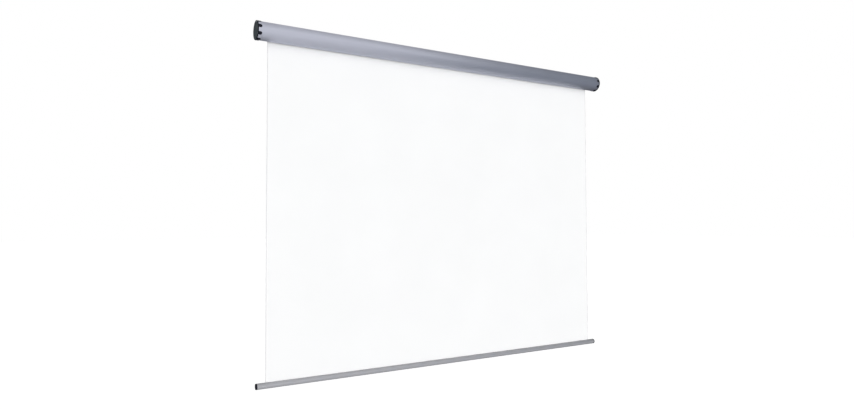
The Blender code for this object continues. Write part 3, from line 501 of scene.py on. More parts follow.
# %% Make the plastic finishes
def moulded_paint(name, colour, worn_colour, roughness, grain, dust):
    tree, shader = new_paint(name, Metallic=0.0, IOR=1.38, Specular_IOR_Level=0.3)
    base = place(
        tree, clouding, Colour=colour, Roughness=roughness, Patch_Size=0.02,
        Tone_Change=0.06, Roughness_Change=0.05,
    )
    wear = place(tree, edge_wear, Width=0.0007, Amount=0.5)["Mask"]
    worn = mixed(tree, wear, base["Colour"], worn_colour)
    film = place(tree, settled_dust, Colour=worn, Roughness=base["Roughness"], Amount=dust)
    skin = place(tree, moulded_grain, Grain_Size=grain)["Height"]
    finish(tree, shader, film["Colour"], film["Roughness"], skin, depth=0.00003)


moulded_paint(
    "cap_plastic", (0.005, 0.006, 0.013), (0.045, 0.050, 0.060),
    roughness=0.42, grain=0.0005, dust=0.04,
)
moulded_paint(
    "inner_plastic", (0.60, 0.59, 0.54), (0.70, 0.69, 0.65),
    roughness=0.50, grain=0.0006, dust=0.05,
)

# %% [markdown]
# ## Plated and spring steel
# The brackets, bolts, pins and the ratchet are zinc plated, a little bluish, with small
# crystals that catch the light differently. The spring is plain drawn wire, dark from its
# heat treatment. Cells of a Voronoi texture make the crystals.

# %% Make the steel finishes
WORN_STEEL = (0.80, 0.80, 0.80)


def plated_paint(name, colour, roughness, crystal, change):
    tree, shader = new_paint(name, Metallic=1.0)
    cells = add(tree, "TexVoronoi", Vector=own_place(tree), Scale=1 / crystal)
    one = add(tree, "SeparateColor", cells.outputs["Color"])
    base = place(
        tree, clouding, Colour=colour, Roughness=roughness, Patch_Size=0.01,
        Tone_Change=0.03, Roughness_Change=0.03,
    )
    rough = sum_of(tree, base["Roughness"], ranged(tree, one, 0, 1, -change, change))
    wear = place(tree, edge_wear, Width=0.0006, Amount=0.7)["Mask"]
    worn = mixed(tree, wear, base["Colour"], WORN_STEEL)
    film = place(tree, settled_dust, Colour=worn, Roughness=rough, Amount=0.12)
    skin = place(tree, moulded_grain, Grain_Size=0.0008)["Height"]
    finish(tree, shader, film["Colour"], film["Roughness"], skin, depth=0.00001)


plated_paint("zinc_steel", (0.60, 0.62, 0.65), roughness=0.38, crystal=0.0014, change=0.05)
plated_paint("spring_steel", (0.26, 0.26, 0.28), roughness=0.42, crystal=0.0008, change=0.04)

# %% [markdown]
# ## Screen cloth
# Projection cloth is matt white, so that it throws the picture back evenly. Its face has a
# fine pebble and its back shows the threads of the base cloth. Both are far too small for
# geometry, so they are heights: a noise for the pebble and two sets of waves for the threads.
# A thin greyer line is painted along both side edges of the cloth.

# %% Make the cloth finish
THREAD = 0.0011
PEBBLE = 0.0007
CLOTH_WHITE = (0.90, 0.90, 0.90)
# the thin grey line painted along both side edges of the cloth
EDGE_LINE_GREY = (0.68, 0.68, 0.69)
EDGE_LINE_WIDTH = 0.0035  # width of the grey line painted along each side edge
EDGE_LINE_FADES = 0.0015
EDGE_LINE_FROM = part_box("screen_fabric")[1][0] - EDGE_LINE_WIDTH


def threads(tree, along):
    """Waves along one axis, a thread apart."""
    return maths(tree, "SINE", product(tree, along, math.tau / THREAD))


def make_cloth_paint():
    tree, shader = new_paint("screen_white", Metallic=0.0, Sheen_Weight=0.05)
    along = parts_of(tree, own_place(tree))
    pebble = noise(tree, 1 / PEBBLE, detail=2.0)
    weave = product(tree, threads(tree, along["X"]), threads(tree, along["Z"]))
    back = ranged(tree, facing(tree)["Y"], -0.2, 0.2)
    height = mixed(tree, back, pebble, weave, "FLOAT")
    base = place(
        tree, clouding, Colour=CLOTH_WHITE, Roughness=0.86, Patch_Size=0.25,
        Tone_Change=0.008, Roughness_Change=0.03,
    )
    across = maths(tree, "ABSOLUTE", along["X"])
    edge = ranged(tree, across, EDGE_LINE_FROM, EDGE_LINE_FROM + EDGE_LINE_FADES)
    # paints the thin grey line along both side edges
    colour = mixed(tree, edge, base["Colour"], EDGE_LINE_GREY)
    finish(tree, shader, colour, base["Roughness"], height, depth=0.00002)


make_cloth_paint()

# %% [markdown]
# ## Shapes from outlines
# Most of this object is either drawn through a die, so it has one outline all along, or
# turned, so it has one profile all round. A filled curve with a small bevel gives the first,
# with its cut edges eased. A ring of points for each corner of a profile gives the second.

# %% Helpers for outlines
TURN = math.tau
FINE = math.radians(3)
SMALL = math.radians(12)


def polar(radius, angle, centre=(0.0, 0.0)):
    """A point in the cross-section: (behind, above) the centre."""
    return (centre[0] + radius * math.cos(angle), centre[1] + radius * math.sin(angle))


def arc(radius, start, end, centre=(0.0, 0.0), step=FINE):
    count = max(1, math.ceil(abs(end - start) / step - 1e-6))
    return [polar(radius, start + (end - start) * k / count, centre) for k in range(count + 1)]


def circle(radius, centre=(0.0, 0.0), step=FINE):
    return arc(radius, 0, TURN, centre, step)[:-1]


def turned_to(points, angle, centre=(0.0, 0.0)):
    """Points turned round the origin, and then moved to a centre."""
    return [polar(math.hypot(x, y), math.atan2(y, x) + angle, centre) for x, y in points]


def beside(path, k, out):
    """The point that lies square to a path, beside the path's point number k."""
    on, back = path[min(k + 1, len(path) - 1)], path[max(k - 1, 0)]
    way = math.atan2(on[1] - back[1], on[0] - back[0])
    return polar(out, way + math.pi / 2, path[k])


def softened(corners, steps=5):
    """Rounds the corners of an open profile. A corner is (along, out, radius)."""
    points = []
    for k, (along, out, radius) in enumerate(corners):
        here = Vector((along, out))
        if not radius:
            points.append(tuple(here))
            continue
        back = (Vector(corners[k - 1][:2]) - here).normalized()
        on = (Vector(corners[k + 1][:2]) - here).normalized()
        half = back.angle(on) / 2
        centre = here + (back + on).normalized() * radius / math.sin(half)
        first = here + back * radius / math.tan(half) - centre
        last = here + on * radius / math.tan(half) - centre
        for s in range(steps + 1):
            points.append(tuple(centre + radius * first.slerp(last, s / steps)))
    return points


# %% Helpers for pieces
def mesh_piece(name, mesh, smooth=35):
    """An object for a finished mesh, shaded smooth except across sharp corners."""
    work = bmesh.new()
    work.from_mesh(mesh)
    bmesh.ops.remove_doubles(work, verts=work.verts, dist=1e-6)
    bmesh.ops.recalc_face_normals(work, faces=work.faces)
    work.to_mesh(mesh)
    work.free()
    mesh.shade_smooth()
    mesh.set_sharp_from_angle(angle=math.radians(smooth))
    return added(name, mesh)


def grid(rows, columns, start=0):
    """The faces between rows of points that are all equally long."""
    return [
        [start + i * columns + j + k for k in (0, 1, columns + 1, columns)]
        for i in range(rows - 1) for j in range(columns - 1)
    ]


def from_points(name, spots, faces, smooth=35):
    """A piece from its points and faces."""
    mesh = bpy.data.meshes.new(name)
    mesh.from_pydata(spots, [], faces)
    return mesh_piece(name, mesh, smooth)


def worked_out(thing):
    """A new mesh of what a curve or a modifier comes to."""
    graph = bpy.context.evaluated_depsgraph_get()
    return bpy.data.meshes.new_from_object(thing.evaluated_get(graph))


def drawn(name, loops, low, high, ease=0.0, centre=(0.0, 0.0), smooth=35):
    """An outline with its holes, carried along X, its two cut edges eased."""
    curve = bpy.data.curves.new(name, "CURVE")
    curve.dimensions = "2D"
    curve.fill_mode = "BOTH"
    curve.extrude = (high - low) / 2 - ease
    curve.bevel_depth = ease
    curve.offset = -ease
    curve.bevel_resolution = 1
    for loop in loops:
        spline = curve.splines.new("POLY")
        spline.points.add(len(loop) - 1)
        for point, (behind, above) in zip(spline.points, loop):
            point.co = (behind, above, 0, 1)
        spline.use_cyclic_u = True
    holder = added(name, curve)
    mesh = worked_out(holder)
    bpy.data.objects.remove(holder)
    turn = Matrix(((0, 0, 1), (1, 0, 0), (0, 1, 0))).to_4x4()
    mesh.transform(Matrix.Translation(((low + high) / 2, *centre)) @ turn)
    return mesh_piece(name, mesh, smooth)


def turned(name, profile, centre, steps):
    """A profile of (along X, out from the centre) spun round a line along X."""
    spots, rings = [], []
    for along, out in profile:
        if out < 1e-6:
            rings.append([len(spots)] * steps)
            spots.append((along, *centre))
            continue
        rings.append(list(range(len(spots), len(spots) + steps)))
        spots += [(along, *polar(out, TURN * k / steps, centre)) for k in range(steps)]
    faces = []
    for here, on in zip(rings, rings[1:]):
        for k in range(steps):
            j = (k + 1) % steps
            face = list(dict.fromkeys((here[k], here[j], on[j], on[k])))
            if len(face) > 2:
                faces.append(face)
    return from_points(name, spots, faces)


def cut(piece, *tools):
    """Takes the tools' shapes out of a piece, for good."""
    for tool in tools:
        step = piece.modifiers.new("cut", "BOOLEAN")
        step.operation = "DIFFERENCE"
        step.solver = "EXACT"
        step.object = tool
    mesh = worked_out(piece)
    piece.modifiers.clear()
    piece.data = mesh
    for tool in tools:
        bpy.data.objects.remove(tool)
    return piece


def joined(name, pieces):
    """Several shapes that were moulded as one piece."""
    work = bmesh.new()
    for piece in pieces:
        work.from_mesh(piece.data)
        bpy.data.objects.remove(piece)
    mesh = bpy.data.meshes.new(name)
    work.to_mesh(mesh)
    work.free()
    return mesh_piece(name, mesh)


# %% [markdown]
# ## Putting a piece in its place
# A new piece stands for one node of the working model, wears that node's finish and moves
# with its body. Saying all three in one call keeps every piece complete.

# %% Helper that places a piece
SLOT_OF = {part["node"]: part["material_slot"] for part in frame["record"]["subparts"]}
BODY_OF = {
    node: body
    for body, nodes in frame["record"]["behaviour"]["bodies"].items()
    for node in nodes
}


def stands_for(piece, node):
    """Gives a piece the finish, the body and the place of a node of the working model."""
    slot = SLOT_OF[node]
    piece.data.materials.clear()
    piece.data.materials.append(PAINTS[slot])
    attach(piece, BODY_OF[node])
    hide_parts(node)
    print(piece.name, "stands for", node, "with", len(piece.data.polygons), "faces")
    return piece


# %% [markdown]
# ## The casing
# The casing is one extrusion: a round shell with a slot underneath for the sheet, beads
# along the slot's edges so that they don't cut it, a channel behind for the brackets and two
# split rings inside that the cap screws bite into. A tube with parts added would show
# joints that the real one doesn't have, so the whole outline is drawn as one line.

# %% Measure the casing from the working model
def span_of(node, axis):
    """Where a node's box starts and ends along one axis: 0 is X, 1 is Y and 2 is Z."""
    low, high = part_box(node)
    return low[axis], high[axis]


def middle_of(node):
    """The centre of a node's box, as (behind, above)."""
    return tuple(sum(span_of(node, axis)) / 2 for axis in (1, 2))


def radius_of(node):
    """Half the height of a node's box."""
    low, high = span_of(node, 2)
    return (high - low) / 2


TUBE_LOW, TUBE_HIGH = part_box("casing_tube")
CASING_RADIUS = radius_of("casing_tube")
CASING_WALL = 0.0016
CASING_BORE = CASING_RADIUS - CASING_WALL
TUBE_HALF = TUBE_HIGH[0]
AXIS = (TUBE_LOW[1] + CASING_RADIUS, 0.0)
CLOTH_PLANE = middle_of("screen_fabric")[0] - AXIS[0]
print(f"casing radius {1000 * CASING_RADIUS:.1f} mm, cloth {1000 * CLOTH_PLANE:.2f} mm behind")

# %% Draw the casing's outline
LIP = 0.0018  # radius of the beads
SLOT_AHEAD = 0.0062  # in front of the cloth
SLOT_BEHIND = 0.0078
LAND_HALF = 0.0120
CHANNEL_MOUTH_HALF = 0.0055
CHANNEL_HALF = 0.0090
CHANNEL_DEPTH = 0.0040
PORT_ANGLES = (math.radians(104), math.radians(214))
PORT_RADIUS = 0.0036
PORT_BORE = 0.0019
PORT_MOUTH_HALF = 0.0013
PORT_CENTRE = 0.0342
EASE = 0.0002  # how much a cut edge is eased


def meeting(large, distance, small):
    """Where a small circle crosses a large one, as an angle at the small one's centre."""
    return math.acos((large**2 - distance**2 - small**2) / (2 * distance * small))


def seen(distance, small, angle):
    """The same point as an angle at the large circle's centre."""
    return math.atan2(small * math.sin(angle), distance + small * math.cos(angle))


def lip_angles():
    """Where the beads along the slot sit: rear and front, below straight behind."""
    half = LIP / (CASING_RADIUS - LIP)
    rear = -math.acos((CLOTH_PLANE + SLOT_BEHIND) / CASING_RADIUS) + half
    front = -math.acos((CLOTH_PLANE - SLOT_AHEAD) / CASING_RADIUS) - half
    return rear, front + TURN


def bead(at, start, end):
    return arc(LIP, at + start, at + end, polar(CASING_RADIUS - LIP, at), SMALL)


def port(at):
    """One split ring, followed from its upper to its lower side."""
    centre = polar(PORT_CENTRE, at)
    meet = meeting(CASING_BORE, PORT_CENTRE, PORT_RADIUS)
    outer = math.pi - math.asin(PORT_MOUTH_HALF / PORT_RADIUS)
    inner = math.pi - math.asin(PORT_MOUTH_HALF / PORT_BORE)
    return (
        arc(PORT_RADIUS, at + meet, at + outer, centre, SMALL)
        + arc(PORT_BORE, at + inner, at - inner, centre, SMALL)
        + arc(PORT_RADIUS, at - outer, at - meet, centre, SMALL)
    )


def channel(back):
    """The channel behind, from its lower to its upper lip."""
    under = back - CASING_WALL
    floor = under - CHANNEL_DEPTH
    half = [(back, CHANNEL_MOUTH_HALF), (under, CHANNEL_MOUTH_HALF), (under, CHANNEL_HALF),
            (floor, CHANNEL_HALF)]
    return [(a, -b) for a, b in half] + half[::-1]


def casing_outline():
    rear, front = lip_angles()
    meet = meeting(CASING_BORE, CASING_RADIUS - LIP, LIP)
    lip_seen = seen(CASING_RADIUS - LIP, LIP, meet)
    land = math.asin(LAND_HALF / CASING_RADIUS)
    back = math.sqrt(CASING_RADIUS**2 - LAND_HALF**2)
    wall_half = CHANNEL_HALF + CASING_WALL
    box_meet = math.asin(wall_half / CASING_BORE)
    box_floor = back - 2 * CASING_WALL - CHANNEL_DEPTH
    points = arc(CASING_RADIUS, rear, -land) + channel(back)
    points += arc(CASING_RADIUS, land, front) + bead(front, 0, TURN - meet)[1:]
    ring = seen(PORT_CENTRE, PORT_RADIUS, meeting(CASING_BORE, PORT_CENTRE, PORT_RADIUS))
    reached = front - lip_seen
    for at in sorted(PORT_ANGLES, reverse=True):
        points += arc(CASING_BORE, reached, at + ring)[1:-1] + port(at)
        reached = at - ring
    points += arc(CASING_BORE, reached, box_meet)[1:]
    points += [(box_floor, wall_half), (box_floor, -wall_half)]
    points += arc(CASING_BORE, -box_meet, rear + lip_seen)
    return points + bead(rear, meet, TURN)[1:-1]


# %% Make the casing
outline = casing_outline()
print("outline of", len(outline), "points")
tube = drawn("casing_shell", [outline], -TUBE_HALF, TUBE_HALF, EASE, AXIS, smooth=30)
stands_for(tube, "casing_tube")

# %% [markdown]
# ## The end caps
# Each cap is one dark moulding: a disc with a raised rim, eight round-tipped fingers that
# lie over the end of the tube, and inside it a boss, ribs and a spigot. The fingers show as
# a row of dark teeth against the silver. A tooth could be cut from a ring, but that leaves
# sharp edges. Here each is a skin of rings that step in from its outline, bent round the
# tube, so that its rim is rounded as a moulding's is.

# %% Measure a cap
CAP_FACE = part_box("end_cap_right")[1][0]
CAP_RADIUS = radius_of("end_cap_right")
FLANGE = 0.0040
FLANGE_BACK = CAP_FACE - FLANGE
RIM = 0.0040
DISH = 0.0006
INNER_ROUND = 0.0004
OUTER_ROUND = 0.0016
DISH_ROUND = 0.0005
SEAT = 0.0023  # depth of a screw's seat in the disc
HEAD = 0.0037  # radius of a screw's head
SHANK = 0.0017
GAP = 0.0003
SIDES = (("left", -1), ("right", 1))
print(f"cap face at {1000 * CAP_FACE:.1f} mm, radius {1000 * CAP_RADIUS:.1f} mm")


# %% The disc, with its screw seats
def mirrored(points, side):
    return [(side * along, out) for along, out in points]


def make_disc(side):
    profile = softened([
        (FLANGE_BACK, 0, 0),
        (FLANGE_BACK, CAP_RADIUS, INNER_ROUND),
        (CAP_FACE, CAP_RADIUS, OUTER_ROUND),
        (CAP_FACE, CAP_RADIUS - RIM, DISH_ROUND),
        (CAP_FACE - DISH, CAP_RADIUS - RIM - DISH, DISH_ROUND),
        (CAP_FACE - DISH, 0, 0),
    ])
    disc = turned("disc", mirrored(profile, side), AXIS, steps=160)
    back, seat, out = FLANGE_BACK - GAP, CAP_FACE - SEAT, CAP_FACE + GAP
    narrow, wide = SHANK + GAP, HEAD + GAP
    hole = [(back, 0), (back, narrow), (seat, narrow), (seat, wide), (out, wide), (out, 0)]
    centres = [polar(PORT_CENTRE, at, AXIS) for at in PORT_ANGLES]
    return cut(disc, *(turned("seat", mirrored(hole, side), at, steps=33) for at in centres))


# %% One finger, as rings stepping in from its outline
FINGERS = 8
FIRST_FINGER = math.radians(165)
FINGER_HALF = 0.0070
FINGER_LENGTH = 0.0145
FINGER_THICKNESS = 0.0011
FINGER_ROUND = 0.0006
SIDE_STEPS = 6
TIP_STEPS = 14
ROUND_STEPS = 4
TOP_RINGS = (0.3, 0.6, 0.85, 1.0)  # steps over the flat top, as shares of the half width


def finger_ring(inset):
    """The finger's outline moved in, as (along, across), from one root corner to the other."""
    half = max(FINGER_HALF - inset, 1e-5)
    tip = FINGER_LENGTH - FINGER_HALF
    side = [(tip * k / SIDE_STEPS, -half) for k in range(SIDE_STEPS)]
    side[0] = (-FLANGE / 2, -half)
    end = arc(half, -math.pi / 2, math.pi / 2, (tip, 0), math.pi / TIP_STEPS)
    return side + end + [(a, -b) for a, b in side[::-1]]


def finger_levels():
    """Inset and height of each ring, up over the rounded rim to the middle."""
    levels = [(0.0, 0.0)]
    for k in range(ROUND_STEPS + 1):
        a = math.pi / 2 * k / ROUND_STEPS
        inset = FINGER_ROUND * (1 - math.sin(a))
        levels.append((inset, FINGER_THICKNESS - FINGER_ROUND * (1 - math.cos(a))))
    levels[1:] = sorted(levels[1:])
    return levels + [(FINGER_HALF * s, FINGER_THICKNESS) for s in TOP_RINGS]


def make_fingers(side):
    rings = [(finger_ring(inset), height) for inset, height in finger_levels()]
    size = len(rings[0][0])
    spots, faces = [], []
    for k in range(FINGERS):
        at = FIRST_FINGER + TURN * k / FINGERS
        faces += grid(len(rings), size, len(spots)) + under_side(len(spots), size)
        for ring, height in rings:
            for along, across in ring:
                spot = polar(CASING_RADIUS + GAP + height, at + across / CASING_RADIUS, AXIS)
                spots.append((side * (FLANGE_BACK - along), *spot))
    return from_points("fingers", spots, faces)


def under_side(start, size):
    """Closes a finger underneath with a strip between its two long edges."""
    return [
        (start + j, start + j + 1, start + size - 2 - j, start + size - 1 - j)
        for j in range(size // 2 - 1)
    ]


# %% Boss, ribs and spigot inside the tube
BOSS_RADIUS = 0.0110
BOSS_LENGTH = 0.0185
SOCKET_DEPTH = 0.0120
SPIGOT_DEPTH = 0.0120
SPIGOT_WALL = 0.0020
RIB_DEPTH = 0.0090
RIB_WALL = 0.0018


def spigot_stretches():
    """Where the spigot runs, clear of the channel, the split rings and the slot."""
    inner = CASING_BORE - GAP - SPIGOT_WALL
    ring = (PORT_RADIUS + SPIGOT_WALL) / PORT_CENTRE
    box = math.asin((CHANNEL_HALF + CASING_WALL + SPIGOT_WALL) / inner)
    front = lip_angles()[1] - 2 * LIP / inner
    first, second = PORT_ANGLES
    return (box, first - ring), (first + ring, second - ring), (second + ring, front)


def between(side, near, far):
    return sorted((side * near, side * far))


def make_inside(side, socket):
    outer = CASING_BORE - GAP
    root = FLANGE_BACK + GAP
    end = FLANGE_BACK - BOSS_LENGTH
    start, stop, half = BOSS_RADIUS - RIB_WALL, outer - GAP, RIB_WALL / 2
    rib = [(start, -half), (stop, -half), (stop, half), (start, half)]
    bands, ribs = [], []
    for a, b in spigot_stretches():
        bands.append(arc(outer, a, b) + arc(outer - SPIGOT_WALL, b, a))
        ribs.append(turned_to(rib, (a + b) / 2))
    boss = circle(BOSS_RADIUS)
    shapes = (
        ("spigot", bands, FLANGE_BACK - SPIGOT_DEPTH, root, EASE),
        ("ribs", ribs, FLANGE_BACK - RIB_DEPTH, root, 0.0),
        ("boss", [boss, socket], end, end + SOCKET_DEPTH + GAP, EASE),
        ("boss_root", [boss], end + SOCKET_DEPTH, root, 0.0),
    )
    return [
        drawn(name, loops, *between(side, near, far), ease, AXIS)
        for name, loops, near, far, ease in shapes
    ]


# %% Make both caps
SPEAR = (0.0019, 0.0048)  # half width and half height of the slot that holds the rod's spear
BUSH_RADIUS = 0.0058

spear = [(a * SPEAR[0], b * SPEAR[1]) for a, b in ((-1, -1), (1, -1), (1, 1), (-1, 1))]
bush = circle(BUSH_RADIUS + GAP, step=SMALL)
for (word, side), socket in zip(SIDES, (spear, bush)):
    shapes = [make_disc(side), make_fingers(side)] + make_inside(side, socket)
    stands_for(joined(f"cap_moulding_{word}", shapes), f"end_cap_{word}")

# %% [markdown]
# ## The cap screws
# Two screws hold each cap. Their low heads sit just below the cap's face and have a cross
# recess. The head and shank are turned, and a plus-shaped tool is taken out of the head.

# %% Make the cap screws
SCREW_LENGTH = 0.0160
SCREW_POINT = 0.0020
SCREW_SINK = 0.0008
HEAD_EDGE = 0.0001
HEAD_ROUND = 0.0010
RECESS_HALF = 0.0019
RECESS_WALL_HALF = 0.0004
RECESS_DEPTH = 0.0010


def plus(reach, half):
    """The outline of a plus sign."""
    arm = [(reach, -half), (reach, half), (half, half)]
    return sum((turned_to(arm, quarter * math.pi / 2) for quarter in range(4)), [])


def cross_headed(name, profile, centre, low, high):
    """A turned fixing with a cross recess from low to high along X."""
    shape = turned(name, profile, centre, steps=48)
    recess = [plus(RECESS_HALF, RECESS_WALL_HALF)]
    return cut(shape, drawn("recess", recess, low, high, 0, centre))


def make_cap_screw(node, side, at):
    centre = polar(PORT_CENTRE, at, AXIS)
    seat, top = CAP_FACE - SEAT + GAP, CAP_FACE - SCREW_SINK
    tip = seat - SCREW_LENGTH
    profile = softened([
        (tip, 0, 0), (tip + SCREW_POINT, SHANK, 0), (seat, SHANK, 0),
        (seat, HEAD, HEAD_EDGE), (top, HEAD, HEAD_ROUND), (top, 0, 0),
    ])
    low, high = between(side, top - RECESS_DEPTH, top + GAP)
    screw = cross_headed("cap_screw", mirrored(profile, side), centre, low, high)
    screw.name = node.replace("screw", "fixing")
    stands_for(screw, node)


for word, side in SIDES:
    for level, at in zip(("upper", "lower"), PORT_ANGLES):
        make_cap_screw(f"cap_screw_{word}_{level}", side, at)

# %% [markdown]
# ## The wall brackets
# A bracket is a short strip of plated steel. It clamps the casing's back and steps away to
# the wall above and below, with two slots for wall screws. The strip is drawn as an outline
# along its bends and trimmed to rounded corners. A bevel modifier eases its sheared edges, and
# another modifier keeps the shading of its flat faces even.

# %% Make the brackets
BRACKET = 0.0020  # thickness
BRACKET_WIDTH = 0.0440
BRACKET_TOP = 0.0420
BRACKET_FOOT = 0.0240
JOGGLE = 0.0055
BRACKET_CORNER = 0.0050
WALL_SLOT = (0.0056, 0.0130, 0.0240, 0.0300)  # width, height, spacing and level
BOLT = 0.0025  # radius
MARGIN = 0.0100  # how far a cutter reaches past the bracket


def bent_strip(path, thickness, bend):
    """The outline of a strip that follows a path with round bends."""
    middle = [path[0]]
    for before, corner, after in zip(path, path[1:], path[2:]):
        into = math.atan2(corner[1] - before[1], corner[0] - before[0])
        out = math.atan2(after[1] - corner[1], after[0] - corner[0])
        turn = (out - into + math.pi) % TURN - math.pi
        side = math.copysign(math.pi / 2, turn)
        start = polar(-bend * math.tan(abs(turn) / 2), into, corner)
        centre = polar(bend, into + side, start)
        middle += arc(bend, into - side, into - side + turn, centre, math.radians(8))
    middle.append(path[-1])
    edges = [
        [beside(middle, k, half) for k in range(len(middle))]
        for half in (thickness / 2, -thickness / 2)
    ]
    return edges[0] + edges[1][::-1]


def rounded_plate(width, height, corner, centre):
    points = []
    across, up = width / 2 - corner, height / 2 - corner
    for quarter, (side, level) in enumerate(((1, 1), (-1, 1), (-1, -1), (1, -1))):
        middle = (centre[0] + side * across, centre[1] + level * up)
        start = quarter * math.pi / 2
        points += arc(corner, start, start + math.pi / 2, middle, SMALL)
    return points


def facing_back(piece):
    """Swaps X and Y, so that what was made along X runs from front to back."""
    piece.data.transform(Matrix(((0, 1, 0, 0), (1, 0, 0, 0), (0, 0, 1, 0), (0, 0, 0, 1))))
    piece.data.flip_normals()
    return piece


def front_drawn(name, loops, near, far, ease=0.0):
    """A shape drawn as seen from the front, as (along X, above), and carried along Y."""
    return facing_back(drawn(name, loops, near, far, ease))


def make_bracket(word, middle):
    back = math.sqrt(CASING_RADIUS**2 - LAND_HALF**2)
    crown, wall = back + GAP + BRACKET / 2, -AXIS[0] - BRACKET / 2
    path = [(wall, BRACKET_TOP), (wall, LAND_HALF + JOGGLE), (crown, LAND_HALF),
            (crown, -LAND_HALF), (wall, -LAND_HALF - JOGGLE), (wall, -BRACKET_FOOT)]
    outline = bent_strip(path, BRACKET, 2 * BRACKET)
    half = BRACKET_WIDTH / 2
    strip = drawn("strip", [outline], middle - half, middle + half, 0, AXIS)
    height = BRACKET_TOP + BRACKET_FOOT
    level = (BRACKET_TOP - BRACKET_FOOT) / 2
    centre = (middle, level)
    blank = rounded_plate(BRACKET_WIDTH, height, BRACKET_CORNER, centre)
    surround = rounded_plate(
        BRACKET_WIDTH + 2 * MARGIN, height + 2 * MARGIN, BRACKET_CORNER, centre
    )
    width, tall, apart, at = WALL_SLOT
    round_end = 0.499 * width  # a little under a half, so that two arcs never touch
    slots = [
        rounded_plate(width, tall, round_end, (middle + side * apart / 2, at))
        for side in (-1, 1)
    ]
    slots.append(circle(BOLT + GAP, (middle, 0), SMALL))
    near, far = AXIS[0] + CASING_RADIUS / 2, MARGIN
    trim = front_drawn("trim", [surround, blank], near, far)
    holes = [front_drawn("hole", [slot], near, far) for slot in slots]
    bracket = cut(strip, trim, *holes)
    bracket.name = f"wall_clip_{word}"
    stands_for(bracket, f"wall_bracket_{word}")
    ease = bracket.modifiers.new("ease", "BEVEL")
    ease.width = EASE
    ease.segments = 2
    ease.limit_method = "ANGLE"
    ease.angle_limit = math.radians(50)
    level_out = bracket.modifiers.new("level out", "WEIGHTED_NORMAL")
    level_out.keep_sharp = True


BRACKET_AT = {word: sum(span_of(f"wall_bracket_{word}", 0)) / 2 for word, _ in SIDES}
for word, middle in BRACKET_AT.items():
    make_bracket(word, middle)

# %% [markdown]
# ## Clamp bolts and sliding nuts
# A bolt through each bracket pulls a flat nut against the lips of the casing's channel. The
# bolt is turned like a cap screw, with a low head and a cross recess, and then swung round
# to point forwards. The nut is a small plate with eased edges and a hole.

# %% Make the clamp bolts and nuts
BOLT_HEAD = 0.0026
BOLT_HEAD_RADIUS = 0.0047
BOLT_HEAD_ROUND = 0.0012
BOLT_POINT = 0.0006
NUT_WIDTH = 0.0180
NUT_CORNER = 0.0010


def make_clamp(word, middle):
    node = f"clamp_bolt_{word}"
    end, top = span_of(node, 1)
    seat = top - BOLT_HEAD
    profile = softened([
        (end, 0, 0), (end, BOLT - BOLT_POINT, 0), (end + BOLT_POINT, BOLT, 0), (seat, BOLT, 0),
        (seat, BOLT_HEAD_RADIUS, EASE), (top, BOLT_HEAD_RADIUS, BOLT_HEAD_ROUND), (top, 0, 0),
    ])
    centre = (middle, 0)
    bolt = cross_headed("bolt", profile, centre, top - RECESS_DEPTH, top + GAP)
    bolt.name = f"clamp_fixing_{word}"
    stands_for(facing_back(bolt), node)
    node = f"channel_nut_{word}"
    near, far = span_of(node, 1)
    plate = rounded_plate(NUT_WIDTH, 2 * (CHANNEL_HALF - GAP), NUT_CORNER, centre)
    hole = circle(BOLT + GAP, centre, SMALL)
    stands_for(front_drawn(f"sliding_nut_{word}", [plate, hole], near, far, EASE), node)


for word, middle in BRACKET_AT.items():
    make_clamp(word, middle)

# %% [markdown]
# ## The screen cloth
# The sheet is one cloth that is wound round the roller, hangs down through the slot and ends
# in the bar. The bar's weight pulls it almost flat, but a thin cloth that has been rolled up
# keeps very shallow waves. Simulation would settle to the same near-flat sheet, so the
# waves are written as a few long swells, which fade out at the slot and at the bar.

# %% A strip of cloth from its path
CLOTH = 0.00045  # thickness
CLOTH_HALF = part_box("screen_fabric")[1][0]


def swept_cloth(name, path, columns, swell=None):
    """Cloth of even thickness along a path of (behind, above), as wide as the screen."""
    spots = []
    rows = len(path)
    for face in (-1, 1):
        for i in range(columns + 1):
            x = CLOTH_HALF * (2 * i / columns - 1)
            for j, (_, above) in enumerate(path):
                out = face * CLOTH / 2 + (swell(x, above) if swell else 0.0)
                spots.append((x, *beside(path, j, out)))
    layer = (columns + 1) * rows
    faces = grid(columns + 1, rows)
    faces += [[layer + a for a in reversed(quad)] for quad in faces]
    edge = [i * rows for i in range(columns + 1)]
    edge += [columns * rows + j for j in range(1, rows)]
    edge += [i * rows + rows - 1 for i in range(columns - 1, -1, -1)]
    edge += list(range(rows - 2, 0, -1))
    for a, b in zip(edge, edge[1:] + edge[:1]):
        faces.append((a, b, layer + b, layer + a))
    return from_points(name, spots, faces, smooth=60)


# %% The hanging sheet
CLOTH_LOW, CLOTH_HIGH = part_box("screen_fabric")
DROP = CLOTH_HIGH[2] - CLOTH_LOW[2]
SWELL = 0.0009  # height of the swells
EDGE_CURL = 0.0016  # how far the side edges lean back
HELD_FLAT = 0.06  # share of the drop that the slot keeps flat
LONG, SHORT, LEAN = 4.1, 7.3, 2.2  # turns of the swells, in radians for a metre or a drop
ROWS = 72
COLUMNS = 90


def shallow_swell(x, above):
    """How far the hanging cloth stands off its plane, in metres."""
    down = (CLOTH_HIGH[2] - above) / DROP
    free = min(1.0, max(0.0, (down - HELD_FLAT) / (1 - HELD_FLAT)))
    waves = math.sin(LONG * x + 0.6) + 0.6 * math.sin(SHORT * x - 1.1 + LEAN * down)
    curl = (abs(x) / CLOTH_HALF) ** 6
    return math.sin(math.pi * free) ** 2 * (SWELL * waves + EDGE_CURL * curl)


plane = middle_of("screen_fabric")[0]
down = [(plane, CLOTH_HIGH[2] - DROP * k / ROWS) for k in range(ROWS + 1)]
SHEET = swept_cloth("hanging_cloth", down, COLUMNS, shallow_swell)
stands_for(SHEET, "screen_fabric")

# %% [markdown]
# ## Wound turns and hems
# One and a half turns stay on the roller when the screen is down. Each end of the cloth is
# folded round a thin rod, and that fold slides into a keyhole groove in the roller or the
# bar. Both shapes are the same strip of cloth along another path.

